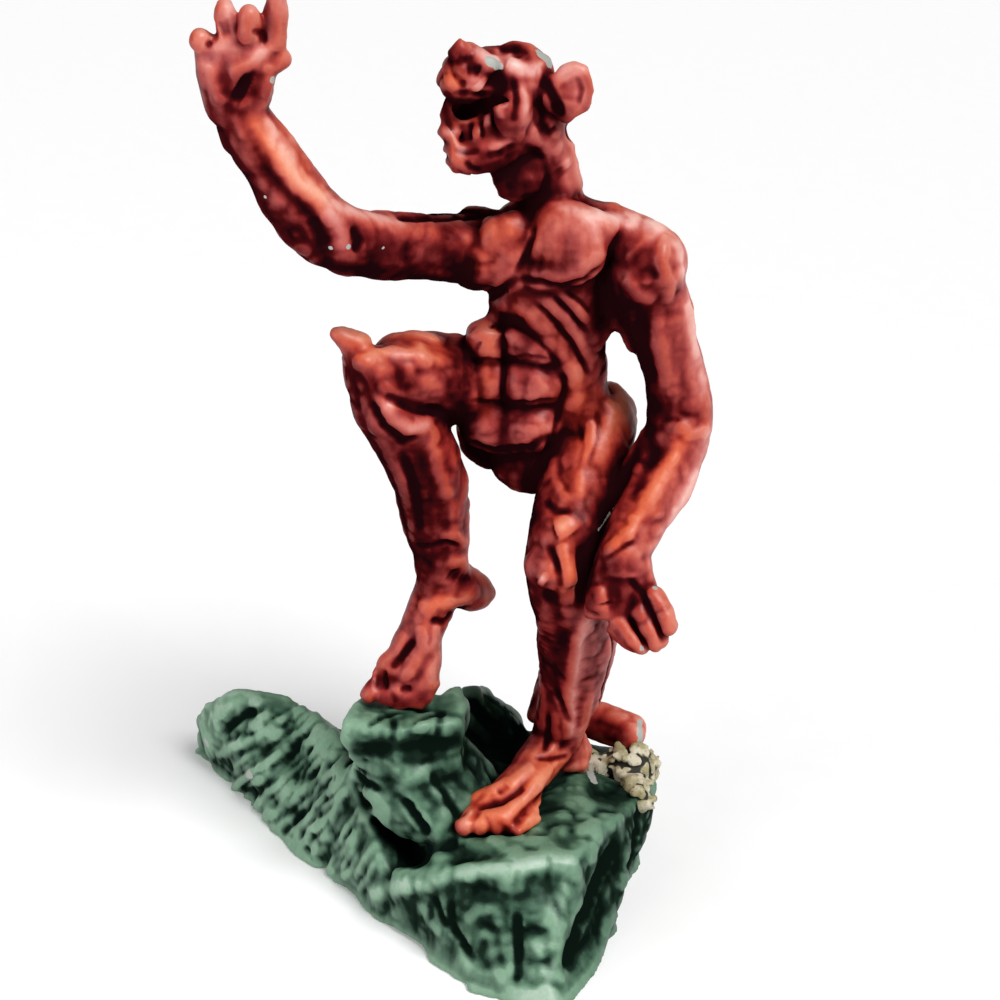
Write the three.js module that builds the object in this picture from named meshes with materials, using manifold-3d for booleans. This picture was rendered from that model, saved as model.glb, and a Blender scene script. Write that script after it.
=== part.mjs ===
// Miniature gargoyle figure: white-metal castings pinned together on a rock.
// Millimetres, +Z up, the figure faces -Y, and the origin is the middle of the rock's flat underside.
// Left and right are the figure's own.
import * as THREE from "three";
import { ConvexGeometry } from "three/addons/geometries/ConvexGeometry.js";
import { mergeVertices } from "three/addons/utils/BufferGeometryUtils.js";
import Module from "manifold-3d";

const wasm = await Module();
wasm.setup();

// Fits
const glueGap = 0.3; // between two castings that are glued together
const soleBed = 0.35; // how deep soles and tail bed into the rock
const pinRadius = 0.5; // brass wire
const pinGap = 0.12; // round a pin in its hole
const bodyPinLength = 4.4;
const footPinLength = 5.6;
const tailPinReach = 1.3;
const tailPinAim = [169, -63];

// Bone lengths, joint to joint
const shinLength = 17;
const thighLength = 10.1;
const hipReach = 3.5;
const bellyLength = 5;
const ribsLength = 6.1;
const collarLength = 4;
const neckLength = 4.4;
const skullRise = 4.6;
const rightShoulderReach = 3.4; // the raised arm draws its shoulder in
const leftShoulderReach = 6.7;
const upperArmLength = 12.4;
const forearmLength = 9.6;
const palmLength = 4;
const fingerLength = 3.6;
const thumbLength = 1.3;
const footLength = 7.6; // ankle to ball
const toeLength = 2;
const heelLength = 3.2;
const kneeSpikeLength = 3;
const ankleHeight = 3.1; // planted ankle above the sole

// Half thickness of the limbs
const shoulderGirth = 2.4;
const upperArmGirth = 2.05;
const elbowGirth = 2.15;
const forearmGirth = 1.9;
const wristGirth = 1.65;
const fingerGirth = 0.68;
const palmHalfWidth = 2.4;
const palmHalfDepth = 1.1;
const hipGirth = 2.9;
const thighGirth = 2.8;
const kneeGirth = 2.45;
const calfGirth = 2.6;
const shinGirth = 2.4;
const ankleGirth = 1.7;
const heelGirth = 1.4;
const instepGirth = 1.5;
const ballHalfWidth = 2.3;
const ballHalfDepth = 1.05;
const toeGirth = 0.72;
const kneeSpikeGirth = 0.7;
const neckGirth = 2;
const tailRootGirth = 1.6;
const tailGirth = 1.15;
const tailRootPlace = [-2.4, 2, -2]; // from the pelvis
const tailUpperSway = [1.2, 2]; // the tail's swing away from a straight line, sideways and back
const tailLowerSway = [2.6, 2.2];
const tailBendReach = [-1.2, 3.6]; // from the planted ankle
const tailBendLift = 1.6;
const tailEndReach = [6.1, 2.6];
const tailEndLift = 0.6;
const tailLoopSway = [1.2, -0.6]; // back and down, between bend and end
const fillerReach = [-0.7, -1.3]; // from the tail's end
const fillerRadii = [1.6, 2.2, 1.4];

// Torso half widths and half depths, from the crotch up
const crotchGirth = [1.8, 1.7];
const groinGirth = [3.4, 2.9];
const pelvisGirth = [4.7, 3];
const bellyGirth = [4.4, 2.8];
const waistGirth = [4.35, 2.6];
const ribsGirth = [3.75, 2.8];
const chestGirth = [4.5, 3.1];
const collarGirth = [4, 2.5];
const neckBaseGirth = [2.5, 2.2];
const crotchDrop = 4.8;
const ribsSway = 0.4; // the ribs' step to the left of the waist
const yokeGirth = 2.1; // the muscle from neck to shoulder

// Swellings, each at [forward, left, up] from its joint, with radii in the same order
const chestPlate = { at: [2.6, 2.2, 1.7], radii: [1.2, 2.9, 2.3] };
const chestPlateLift = 0.4; // the hanging arm's side sits higher
const shoulderBlade = { at: [-2.3, 2.3, 0.6], radii: [1.1, 1.8, 2.4] };
const rightButtock = { at: [-1.2, -3.3, -1.5], radii: [2.4, 2.9, 3.1] };
const leftButtock = { at: [-1.4, 1.6, -0.9], radii: [2.2, 2.5, 2.7] };
const crotchPlace = [0.6, -1.5];
const bellyBulge = 2.9;
const bellyRows = [
  { up: 6.2, deep: 0.9, tall: 1.1 },
  { up: 3.8, deep: 1, tall: 1.45 },
  { up: 0.8, deep: 1.1, tall: 1.6 },
];
const bellyColumns = [
  { left: -3, wide: 1.2 },
  { left: -0.3, wide: 1.75 },
];
const rightDeltoidRadii = [1.9, 2.75, 2.85];
const leftDeltoidRadii = [2.7, 2.75, 2.85];
const kneecap = { at: [-0.4, -1, 0.2], radii: [1.3, 1.5, 1.7] };

// Head, measured from its middle in the same way
const cranium = { at: [-0.3, 0, 0.7], radii: [3.1, 2.4, 2.3] };
const brow = { at: [2.2, 0, 1.75], radii: [1.8, 2, 1] };
const muzzle = { at: [2.4, 0, 0.7], radii: [1.8, 1.6, 1.2] };
const tongue = { at: [1.7, -0.6, -1.3], radii: [2.3, 0.9, 1.7] };
const throat = { at: [-1.3, 0, -5], radii: [2.3, 1.8, 1.9] };
const cheek = { at: [0.4, 1.9, -0.6], radii: [1.4, 0.7, 1.8] };
const ear = { at: [-3.2, 2.9, 0.15], radii: [1.6, 0.65, 1.9] };
const earRoot = { at: [-2.3, 2.2, 0.1], radii: [1.2, 0.9, 1.1] };
const earTurn = 30; // ears stand out from the face's direction
const neckTop = [-0.8, 0, 0.4];
const jawBones = [
  { at: [-1.2, 0, -2], wide: 2.1, deep: 1.9 },
  { at: [1, 0, -3.2], wide: 1.9, deep: 2 },
  { at: [2.6, 0, -3.8], wide: 1.6, deep: 1.4 },
  { at: [3.9, 0, -3.3], wide: 0.9, deep: 0.8 },
];
const browNub = [
  { at: [3.2, 0.6, 2], wide: 0.6, deep: 0.6 },
  { at: [3.5, 0.6, 3.2], wide: 0.25, deep: 0.25 },
];

// Fingers, each at its step across the knuckles
const raisedFingers = [
  { across: -1.4, share: 0.4, aim: [-65, 35] },
  { across: -0.4, share: 0.8, aim: [-15, 76] },
  { across: 0.8, share: 0.8, aim: [5, 62] },
  { across: 2.1, share: 1, aim: [35, 80] },
];
const raisedThumbAim = [85, 35];
const hangingFingers = [
  { across: 1.3, up: 1.2 },
  { across: 0.7, up: 0.2 },
  { across: -0.5, up: -0.3 },
];
const hangingFingerShare = 0.8;
const hangingFingerAim = [68, -38];
const hangingThumbAim = [-30, -60];
const toeShares = [-0.75, -0.25, 0.25, 0.75]; // across half the width of the ball

// Directions as [turn, pitch] in degrees: turn runs from the front to the figure's left, pitch is upwards
const leftShinAim = [-1.5, 72];
const leftThighAim = [158, 50.5];
const leftHipAim = [-96.5, 1];
const bellyAim = [-5, 83];
const ribsAim = [-4, 80.5];
const collarAim = [90, 78.5];
const neckAim = [-56, 78];
const skullAim = [-58, 48.5];
const faceAim = [-60, 2];
const chestAim = [-18, 0];
const pelvisAim = [-10, 0];
const rightShoulderAim = [-99, 15];
const rightUpperArmAim = [-55, 13];
const rightForearmAim = [-75, 60];
const rightPalmAim = [25, 80.5];
const leftShoulderAim = [71, 13];
const leftUpperArmAim = [105.5, -74.3];
const leftForearmAim = [-39, -44.5];
const leftPalmAim = [2, -73];
const rightHipAim = [-102.5, 34];
const rightThighAim = [-57, 18];
const rightShinAim = [126, -72.8];
const rightFootAim = [-59, -68];
const rightToeAim = [-62, -48];
const rightHeelAim = [120, -34];
const leftFootTurn = -32;
const leftHeelTurn = 122;
const kneeSpikeAim = [-78, 30];

// Sideways bow of the shins
const leftShinBow = new THREE.Vector3(1.3, 0.4, 0);
const rightShinBow = new THREE.Vector3(1.3, 0.4, 0);

// Rock: plan of the flat underside, the heights of its steps, and the planted ankle's place
const footprint = [
  [-17.3, 15.2],
  [-12.1, 8.4],
  [-5.2, -1.8],
  [0.1, -8.6],
  [5.4, -14.2],
  [10.6, -16.3],
  [13.8, -11.2],
  [15.8, -4.7],
  [17.2, 1],
  [17, 6],
  [11, 10.5],
  [2, 13],
  [-8, 15.5],
  [-14.6, 17],
];
const plinthHeight = 3.6;
const plinthTopShare = 0.86;
const standHeight = 7.2;
const crestHeight = 8.5;
const rearRockHeight = 12.2;
const ledgeThickness = 2.7;
const ledgeCorners = [
  [-4.2, -3],
  [-0.6, -4],
  [4, -2.3],
  [4.4, 0.7],
  [0.4, 1.6],
  [-3.6, 0.9],
];

// Tops of the rocks: each corner is [x, y, step], with the step measured from the rock's own height
const ridgeTop = [
  [-17, 14.4, -4.3],
  [-15.6, 13, -2.8],
  [-13.6, 11.4, -0.9],
  [-11.6, 10.2, 0],
  [-8.8, 9.8, 0.2],
  [-6.6, 7.2, -2.2],
];
const wallTop = [
  [-8.2, 8.9, 0.1],
  [-6.3, 5.6, 0],
  [-4.2, 2.6, -0.1],
  [-3.3, -1.1, -1],
  [-2, -4.3, -2.4],
  [-1.2, -6.4, -3.9],
];
const frontTop = [
  [-0.6, -7, -2.6],
  [2.4, -9.2, -1],
  [7.2, -10.7, 0.2],
  [5.6, -5, -0.4],
  [2.6, -6, -1.4],
];
const saddleTop = [
  [-6.8, 7, -2.4],
  [-4.4, 4, -1.4],
  [-2.4, 2.6, -0.6],
  [1, 5, -0.2],
  [3.6, 5, 0],
];
const moundTop = [
  [-1.6, -2.6, -0.8],
  [0.2, -5, -1.8],
  [3.4, -6.8, -1.4],
  [5.6, -4.6, 0],
  [6.4, 0.6, 0.2],
  [4.6, 4, 0.4],
  [-2.6, 4.4, -1],
  [-3.4, 0.4, -0.6],
];
const standTop = [
  [4, -6.5, 0],
  [7.4, -10.6, 0],
  [11.4, -10.2, 0],
  [14, -6.4, 0],
  [18.5, 1.6, -0.9],
  [18.3, 1, -3],
  [17, 5, -0.9],
  [10, 7, 0],
  [4, 3, 0],
];
const standBottom = [
  [5.4, -13],
  [10.6, -15.4],
  [13.6, -10.6],
  [16.6, 1],
  [16, 7],
  [2, 4],
];
const standBottomHeight = 0.4;
const rearRockTop = [
  [3.2, 3.4, -0.5],
  [5.2, 4, 0],
  [7.2, 5.4, -2],
  [6, 7.4, -1.4],
];

// Where the rocks reach the underside, and where they root in the plinth
const ridgeFoot = [[-16.9, 15], [-7, 1.2]];
const ridgeRoot = [[-14, 16.4], [-5, 9], [-5.4, 2.8]];
const wallFoot = [[-9.5, 4.6], [-5.2, -1.7], [0, -8.4]];
const wallRoot = [[0, 5], [1.6, 0], [2, -6]];
const frontFoot = [[0.2, -8.4], [5.4, -14], [10.4, -15.8]];
const frontRoot = [[6, -4], [1, -4]];
const saddleRoot = [[2, 9.4], [-6, 10], [-5, 3.6]];
const rearRoot = [[1, 2.6], [10, 4], [11, 9], [3, 10]];
const plantedAnkle = new THREE.Vector2(11.05, 1.2);

// Fineness of the round forms
const limbSides = 12;
const trunkSides = 16;
const limbRings = 2; // between two stations
const digitSides = 7;
const blobColumns = 10;
const blobRows = 6;
const pinSides = 12;

// A direction from its turn and pitch
function heading([turn, pitch]) {
  const t = THREE.MathUtils.degToRad(turn);
  const p = THREE.MathUtils.degToRad(pitch);
  return new THREE.Vector3(Math.sin(t) * Math.cos(p), -Math.cos(t) * Math.cos(p), Math.sin(p));
}

function along(from, length, aim) {
  return from.clone().addScaledVector(heading(aim), length);
}

function between(a, b, share) {
  return a.clone().lerp(b, share);
}

function shifted(point, x, y, z) {
  return point.clone().add(new THREE.Vector3(x, y, z));
}

// Forward, left and up of something that faces an aim
function facing(aim) {
  const forward = heading(aim);
  const left = new THREE.Vector3(0, 0, 1).cross(forward).normalize();
  const up = forward.clone().cross(left);
  return { forward, left, up };
}

function inFrame(origin, frame, [forward, left, up]) {
  const place = origin.clone().addScaledVector(frame.forward, forward);
  return place.addScaledVector(frame.left, left).addScaledVector(frame.up, up);
}

// A place on the left or right side, from the left one
function mirrored([forward, left, up], side) {
  return [forward, left * side, up];
}

function lift([forward, left, up], height) {
  return [forward, left, up + height];
}

// Solids
function solid(geometry) {
  geometry.deleteAttribute("normal");
  geometry.deleteAttribute("uv");
  const merged = mergeVertices(geometry, 1e-5);
  const vertProperties = new Float32Array(merged.attributes.position.array);
  const triVerts = new Uint32Array(merged.index.array);
  return new wasm.Manifold(new wasm.Mesh({ numProp: 3, vertProperties, triVerts }));
}

function fuse(solids) {
  return solids.reduce((whole, next) => whole.add(next));
}

function cut(whole, cutters) {
  return cutters.reduce((left, cutter) => left.subtract(cutter), whole);
}

// The largest body of a cut solid, without the flakes that a cut leaves
function mainBody(whole) {
  const bodies = whole.decompose();
  return bodies.reduce((best, next) => (next.volume() > best.volume() ? next : best));
}

function station(at, wide, deep = wide) {
  return { at, wide, deep };
}

// A closed round form through stations: a cylinder whose rings follow a smooth path and its girths
function limb(stations, side, grow = 0, sides = limbSides) {
  const path = new THREE.CatmullRomCurve3(stations.map((s) => s.at));
  const girths = new THREE.CatmullRomCurve3(stations.map((s) => new THREE.Vector3(s.wide, s.deep, 0)));
  const rings = (stations.length - 1) * limbRings;
  const geometry = new THREE.CylinderGeometry(1, 1, 1, sides, rings);
  const position = geometry.attributes.position;
  const vertex = new THREE.Vector3();
  for (let i = 0; i < position.count; i++) {
    vertex.fromBufferAttribute(position, i);
    const t = THREE.MathUtils.clamp(0.5 - vertex.y, 0, 1);
    const tangent = path.getTangent(t);
    const wide = side.clone().addScaledVector(tangent, -side.dot(tangent)).normalize();
    const deep = tangent.clone().cross(wide);
    const girth = girths.getPoint(t);
    const reach = t < 0.001 ? -grow : t > 0.999 ? grow : 0;
    const place = path.getPoint(t).addScaledVector(tangent, reach);
    place.addScaledVector(wide, vertex.x * (girth.x + grow));
    place.addScaledVector(deep, vertex.z * (girth.y + grow));
    position.setXYZ(i, place.x, place.y, place.z);
  }
  return solid(geometry);
}

// An ellipsoid with its radii along a frame's forward, left and up
function blob(centre, frame, radii, grow = 0) {
  const geometry = new THREE.SphereGeometry(1, blobColumns, blobRows);
  geometry.rotateX(Math.PI / 2);
  geometry.scale(radii[0] + grow, radii[1] + grow, radii[2] + grow);
  geometry.applyMatrix4(new THREE.Matrix4().makeBasis(frame.forward, frame.left, frame.up));
  geometry.translate(centre.x, centre.y, centre.z);
  return solid(geometry);
}

// A swelling placed from its joint
function swelling(joint, frame, { at, radii }, grow) {
  return blob(inFrame(joint, frame, at), frame, radii, grow);
}

// One finger or toe with a rounded tip
function digit(root, length, aim, girth, grow) {
  const places = [
    station(root, girth),
    station(along(root, length * 0.6, aim), girth * 1.05),
    station(along(root, length * 0.92, aim), girth * 0.75),
    station(along(root, length, aim), girth * 0.3),
  ];
  return limb(places, sideways, grow, digitSides);
}

function rock(points) {
  return solid(new ConvexGeometry(points.map(([x, y, z]) => new THREE.Vector3(x, y, z))));
}

function rod(centre, direction, length, radius) {
  const geometry = new THREE.CylinderGeometry(radius, radius, length, pinSides);
  const upright = new THREE.Vector3(0, 1, 0);
  geometry.applyQuaternion(new THREE.Quaternion().setFromUnitVectors(upright, direction.clone().normalize()));
  geometry.translate(centre.x, centre.y, centre.z);
  return solid(geometry);
}

// Joints of the skeleton, from the planted ankle up
const sideways = new THREE.Vector3(1, 0, 0);
const chestFrame = facing(chestAim);
const pelvisFrame = facing(pelvisAim);
const headFrame = facing(faceAim);

const leftAnkle = new THREE.Vector3(plantedAnkle.x, plantedAnkle.y, standHeight + ankleHeight);
const leftKnee = along(leftAnkle, shinLength, leftShinAim);
const leftHip = along(leftKnee, thighLength, leftThighAim);
const pelvis = along(leftHip, hipReach, leftHipAim);
const waist = along(pelvis, bellyLength, bellyAim);
const chest = along(waist, ribsLength, ribsAim);
const neckBase = along(chest, collarLength, collarAim);
const skullBase = along(neckBase, neckLength, neckAim);
const headCentre = along(skullBase, skullRise, skullAim);
const rightShoulder = along(chest, rightShoulderReach, rightShoulderAim);
const rightElbow = along(rightShoulder, upperArmLength, rightUpperArmAim);
const rightWrist = along(rightElbow, forearmLength, rightForearmAim);
const rightKnuckles = along(rightWrist, palmLength, rightPalmAim);
const leftShoulder = along(chest, leftShoulderReach, leftShoulderAim);
const leftElbow = along(leftShoulder, upperArmLength, leftUpperArmAim);
const leftWrist = along(leftElbow, forearmLength, leftForearmAim);
const leftKnuckles = along(leftWrist, palmLength, leftPalmAim);
const rightHip = along(pelvis, hipReach, rightHipAim);
const rightKnee = along(rightHip, thighLength, rightThighAim);
const rightAnkle = along(rightKnee, shinLength, rightShinAim);
const rightBall = along(rightAnkle, footLength, rightFootAim);
const rightHeel = along(rightAnkle, heelLength, rightHeelAim);
const rightToeTip = along(rightBall, toeLength, rightToeAim);
const ledgeTop = rightToeTip.z - toeGirth + soleBed;

// The planted foot lies on the stand: heel, ball and toes take their heights from it.
const leftBall = along(leftAnkle, footLength, [leftFootTurn, 0]).setZ(standHeight + ballHalfDepth - soleBed);
const leftHeel = along(leftAnkle, heelLength / 2, [leftHeelTurn, 0]).setZ(standHeight + heelGirth - soleBed);

// Torso: one trunk with a yoke, chest plates, belly muscles, buttocks and shoulder blades
function torsoForm(grow) {
  const crotch = inFrame(pelvis, pelvisFrame, [...crotchPlace, -crotchDrop]);
  const trunkPlaces = [
    station(crotch, ...crotchGirth),
    station(between(crotch, pelvis, 0.5), ...groinGirth),
    station(pelvis, ...pelvisGirth),
    station(between(pelvis, waist, 0.5), ...bellyGirth),
    station(waist, ...waistGirth),
    station(shifted(between(waist, chest, 0.5), ribsSway, 0, 0), ...ribsGirth),
    station(chest, ...chestGirth),
    station(between(chest, neckBase, 0.6), ...collarGirth),
    station(neckBase, ...neckBaseGirth),
  ];
  const yokePlaces = [
    station(rightShoulder, yokeGirth),
    station(between(chest, neckBase, 0.75), yokeGirth),
    station(leftShoulder, yokeGirth),
  ];
  const chestPairs = [1, -1].flatMap((side) => {
    const lifted = { ...chestPlate, at: lift(mirrored(chestPlate.at, side), side * chestPlateLift) };
    const blade = { ...shoulderBlade, at: mirrored(shoulderBlade.at, side) };
    return [swelling(chest, chestFrame, lifted, grow), swelling(chest, chestFrame, blade, grow)];
  });
  const buttocks = [rightButtock, leftButtock].map((form) => swelling(pelvis, pelvisFrame, form, grow));
  const muscles = bellyRows.flatMap(({ up, deep, tall }) =>
    bellyColumns.map(({ left, wide }) => {
      const muscle = { at: [bellyBulge, left, up], radii: [deep, wide, tall] };
      return swelling(pelvis, pelvisFrame, muscle, grow);
    }),
  );
  const trunk = limb(trunkPlaces, chestFrame.left, grow, trunkSides);
  const yoke = limb(yokePlaces, chestFrame.forward, grow);
  return fuse([trunk, yoke, ...chestPairs, ...buttocks, ...muscles]);
}

// Head: skull, brow, muzzle, cheeks, hanging lower jaw, tongue, throat, round ears, brow nub and neck
function headForm(grow) {
  const place = (at) => inFrame(headCentre, headFrame, at);
  const bones = (list) => list.map(({ at, wide, deep }) => station(place(at), wide, deep));
  const neckPlaces = [
    station(between(neckBase, skullBase, -0.25), neckGirth * 1.15),
    station(between(neckBase, skullBase, 0.5), neckGirth),
    station(skullBase, neckGirth),
    station(place(neckTop), neckGirth),
  ];
  const middle = [cranium, brow, muzzle, tongue, throat];
  const sides = [1, -1].flatMap((side) => {
    const earFrame = facing([faceAim[0] - side * earTurn, 0]);
    const near = [cheek, earRoot].map((form) => ({ ...form, at: mirrored(form.at, side) }));
    const cheeks = near.map((form) => swelling(headCentre, headFrame, form, grow));
    return [...cheeks, blob(place(mirrored(ear.at, side)), earFrame, ear.radii, grow)];
  });
  const neck = limb(neckPlaces, sideways, grow);
  const jaw = limb(bones(jawBones), headFrame.left, grow);
  const nub = limb(bones(browNub), headFrame.left, grow, digitSides);
  const swellings = middle.map((form) => swelling(headCentre, headFrame, form, grow));
  return fuse([neck, jaw, nub, ...swellings, ...sides]);
}

// Arms: shoulder to wrist in one limb that rounds the elbow, then the hand
function armForm(shoulder, elbow, wrist, knuckles, deltoidRadii, grow) {
  const places = [
    station(shoulder, shoulderGirth),
    station(between(shoulder, elbow, 0.5), upperArmGirth),
    station(between(shoulder, elbow, 0.86), elbowGirth),
    station(between(elbow, wrist, 0.2), elbowGirth),
    station(between(elbow, wrist, 0.6), forearmGirth),
    station(wrist, wristGirth),
    station(between(wrist, knuckles, 0.3), wristGirth),
  ];
  const deltoid = blob(between(shoulder, elbow, 0.07), chestFrame, deltoidRadii, grow);
  return limb(places, sideways, grow).add(deltoid);
}

function palmForm(wrist, knuckles, grow) {
  const places = [
    station(between(wrist, knuckles, -0.1), wristGirth, wristGirth),
    station(between(wrist, knuckles, 0.5), palmHalfWidth * 0.95, palmHalfDepth * 1.2),
    station(knuckles, palmHalfWidth, palmHalfDepth * 0.85),
  ];
  return limb(places, sideways, grow);
}

function rightArmForm(grow) {
  const fingers = raisedFingers.map(({ across, share, aim }) =>
    digit(shifted(rightKnuckles, across, 0, -0.3), fingerLength * share, aim, fingerGirth, grow),
  );
  const thumbRoot = shifted(between(rightWrist, rightKnuckles, 0.65), palmHalfWidth * 0.8, 0, 0);
  const thumb = digit(thumbRoot, thumbLength, raisedThumbAim, fingerGirth, grow);
  const arm = armForm(rightShoulder, rightElbow, rightWrist, rightKnuckles, rightDeltoidRadii, grow);
  return fuse([arm, palmForm(rightWrist, rightKnuckles, grow), ...fingers, thumb]);
}

function leftArmForm(grow) {
  const length = fingerLength * hangingFingerShare;
  const fingers = hangingFingers.map(({ across, up }) =>
    digit(shifted(leftKnuckles, across, -0.2, up), length, hangingFingerAim, fingerGirth * 1.1, grow),
  );
  const thumbRoot = shifted(between(leftWrist, leftKnuckles, 0.5), -palmHalfWidth * 0.6, -0.6, 0);
  const thumb = digit(thumbRoot, thumbLength, hangingThumbAim, fingerGirth, grow);
  const arm = armForm(leftShoulder, leftElbow, leftWrist, leftKnuckles, leftDeltoidRadii, grow);
  return fuse([arm, palmForm(leftWrist, leftKnuckles, grow), ...fingers, thumb]);
}

// Legs: hip to ankle with a bowed shin, then heel, foot and toes
function legForm(hip, knee, ankle, bow, grow) {
  const places = [
    station(hip, hipGirth),
    station(between(hip, knee, 0.5), thighGirth),
    station(knee, kneeGirth),
    station(between(knee, ankle, 0.3).addScaledVector(bow, 0.8), calfGirth),
    station(between(knee, ankle, 0.58).add(bow), shinGirth),
    station(ankle, ankleGirth),
  ];
  const hipBall = blob(hip, pelvisFrame, [hipGirth, hipGirth, hipGirth], grow);
  return limb(places, sideways, grow).add(hipBall);
}

function footForm(ankle, heel, ball, toeAim, grow) {
  const heelPlaces = [
    station(ankle, ankleGirth),
    station(heel, heelGirth),
    station(between(ankle, heel, 1.4), heelGirth * 0.5),
  ];
  const footPlaces = [
    station(between(ankle, ball, -0.1), ankleGirth),
    station(between(ankle, ball, 0.55), instepGirth),
    station(ball, ballHalfWidth, ballHalfDepth),
    station(along(ball, toeLength * 0.6, toeAim), ballHalfWidth, ballHalfDepth * 0.8),
  ];
  const toes = toeShares.map((share) =>
    digit(shifted(ball, share * ballHalfWidth, 0, 0), toeLength, toeAim, toeGirth, grow),
  );
  return fuse([limb(heelPlaces, sideways, grow), limb(footPlaces, sideways, grow), ...toes]);
}

function rightLegForm(grow) {
  const spikeRoot = shifted(rightKnee, -0.2, -0.3, kneeGirth * 0.6);
  const spikePlaces = [
    station(spikeRoot, kneeSpikeGirth * 1.4),
    station(along(spikeRoot, kneeSpikeLength * 0.6, kneeSpikeAim), kneeSpikeGirth),
    station(along(spikeRoot, kneeSpikeLength, kneeSpikeAim), kneeSpikeGirth * 0.4),
  ];
  const spike = limb(spikePlaces, sideways, grow, digitSides);
  const leg = legForm(rightHip, rightKnee, rightAnkle, rightShinBow, grow);
  return fuse([leg, footForm(rightAnkle, rightHeel, rightBall, rightToeAim, grow), spike]);
}

function leftLegForm(grow) {
  const cap = blob(shifted(leftKnee, ...kneecap.at), pelvisFrame, kneecap.radii, grow);
  const leg = legForm(leftHip, leftKnee, leftAnkle, leftShinBow, grow);
  return fuse([leg, footForm(leftAnkle, leftHeel, leftBall, [leftFootTurn, -4], grow), cap]);
}

// Tail: from the rump down behind the planted leg, round the ankle to its broken end
const tailRoot = inFrame(pelvis, pelvisFrame, tailRootPlace);
const tailEnd = shifted(leftAnkle, ...tailEndReach, 0).setZ(standHeight + tailGirth - soleBed + tailEndLift);
const tailBend = shifted(leftAnkle, ...tailBendReach, 0).setZ(standHeight + tailGirth + tailBendLift);
function tailForm(grow) {
  const places = [
    station(tailRoot, tailRootGirth),
    station(shifted(between(tailRoot, tailBend, 0.35), ...tailUpperSway, 0), tailRootGirth * 0.85),
    station(shifted(between(tailRoot, tailBend, 0.7), ...tailLowerSway, 0), tailGirth * 1.1),
    station(tailBend, tailGirth),
    station(shifted(between(tailBend, tailEnd, 0.45), 0, ...tailLoopSway), tailGirth),
    station(tailEnd, tailGirth * 1.1),
  ];
  return limb(places, sideways, grow);
}

// Filler: a lump between the tail's broken end and the rock
const fillerCentre = shifted(tailEnd, ...fillerReach, 0).setZ(standHeight);
function fillerForm(grow) {
  return blob(fillerCentre, pelvisFrame, fillerRadii, grow);
}

// Ledge: a flat stone under the raised toes, its plan taken from the ball of that foot
const ledgeBottom = ledgeTop - ledgeThickness;
const ledgePlan = ledgeCorners.map(([x, y]) => [rightBall.x + x, rightBall.y + y]);

// A plan's corners at one height, drawn in or out about the plan's middle
function ring(plan, height, share = 1, outwards = 0) {
  const x0 = plan.reduce((sum, [x]) => sum + x, 0) / plan.length;
  const y0 = plan.reduce((sum, [, y]) => sum + y, 0) / plan.length;
  return plan.map(([x, y]) => {
    const reach = share + outwards / Math.hypot(x - x0, y - y0);
    return [x0 + (x - x0) * reach, y0 + (y - y0) * reach, height];
  });
}

function ledgeForm(grow) {
  return rock([
    ...ring(ledgePlan, ledgeTop + grow, 0.94, grow),
    ...ring(ledgePlan, ledgeTop - ledgeThickness * 0.3, 1, grow * 1.2),
    ...ring(ledgePlan, ledgeBottom - grow, 0.92, grow),
  ]);
}

// Corners of a rock's top, from its own height
function raised(corners, height) {
  return corners.map(([x, y, step]) => [x, y, height + step]);
}

// Corners at one height
function level(corners, height) {
  return corners.map(([x, y]) => [x, y, height]);
}

// Rock: a plinth, a ridge, a wall and a saddle on the figure's right, the stand and the rock in front of it, the
// mound under the ledge and a rear rock, all fused
function rockForm() {
  const rootHeight = plinthHeight - 1;
  const plinth = rock([...ring(footprint, 0), ...ring(footprint, plinthHeight, plinthTopShare)]);
  const ridge = rock([
    ...raised(ridgeTop, crestHeight),
    ...level(ridgeFoot, 0),
    ...level(ridgeRoot, rootHeight),
  ]);
  const wall = rock([
    ...raised(wallTop, crestHeight),
    ...level(wallFoot, 0),
    ...level(wallRoot, rootHeight),
  ]);
  const front = rock([
    ...raised(frontTop, standHeight),
    ...level(frontFoot, 0),
    ...level(frontRoot, rootHeight),
  ]);
  const saddle = rock([...raised(saddleTop, crestHeight), ...level(saddleRoot, rootHeight)]);
  const mound = rock([...ring(ledgePlan, ledgeBottom + glueGap, 0.86), ...raised(moundTop, standHeight)]);
  const stand = rock([...raised(standTop, standHeight), ...level(standBottom, standBottomHeight)]);
  const rear = rock([...raised(rearRockTop, rearRockHeight), ...level(rearRoot, rootHeight)]);
  return fuse([plinth, ridge, wall, saddle, mound, stand, front, rear]);
}

// Pins: each crosses one glued joint, and its hole is cut in both castings
const upwards = new THREE.Vector3(0, 0, 1);
const rightSole = between(rightBall, rightToeTip, 0.45).setZ(ledgeTop);
function jointPin(name, joint, reach, aim) {
  return [name, along(joint, reach, aim), heading(aim), bodyPinLength];
}
const pinPlaces = [
  jointPin("neck_pin", neckBase, glueGap, neckAim),
  jointPin("right_shoulder_pin", rightShoulder, -shoulderGirth, rightShoulderAim),
  jointPin("left_shoulder_pin", leftShoulder, -shoulderGirth, leftShoulderAim),
  jointPin("right_hip_pin", rightHip, hipGirth * 0.7, rightThighAim),
  jointPin("left_hip_pin", leftHip, -hipGirth * 0.9, leftThighAim),
  jointPin("tail_pin", tailRoot, tailPinReach, tailPinAim),
  ["left_foot_pin", leftHeel.clone().setZ(standHeight - footPinLength * 0.1), upwards, footPinLength],
  ["right_foot_pin", rightSole.clone().setZ(ledgeTop - footPinLength * 0.3), upwards, footPinLength],
];
const pins = pinPlaces.map(([name, centre, direction, length]) => ({
  name,
  body: rod(centre, direction, length, pinRadius),
  hole: rod(centre, direction, length + 2 * pinGap, pinRadius + pinGap),
}));
const pinHoles = pins.map((pin) => pin.hole);

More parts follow.
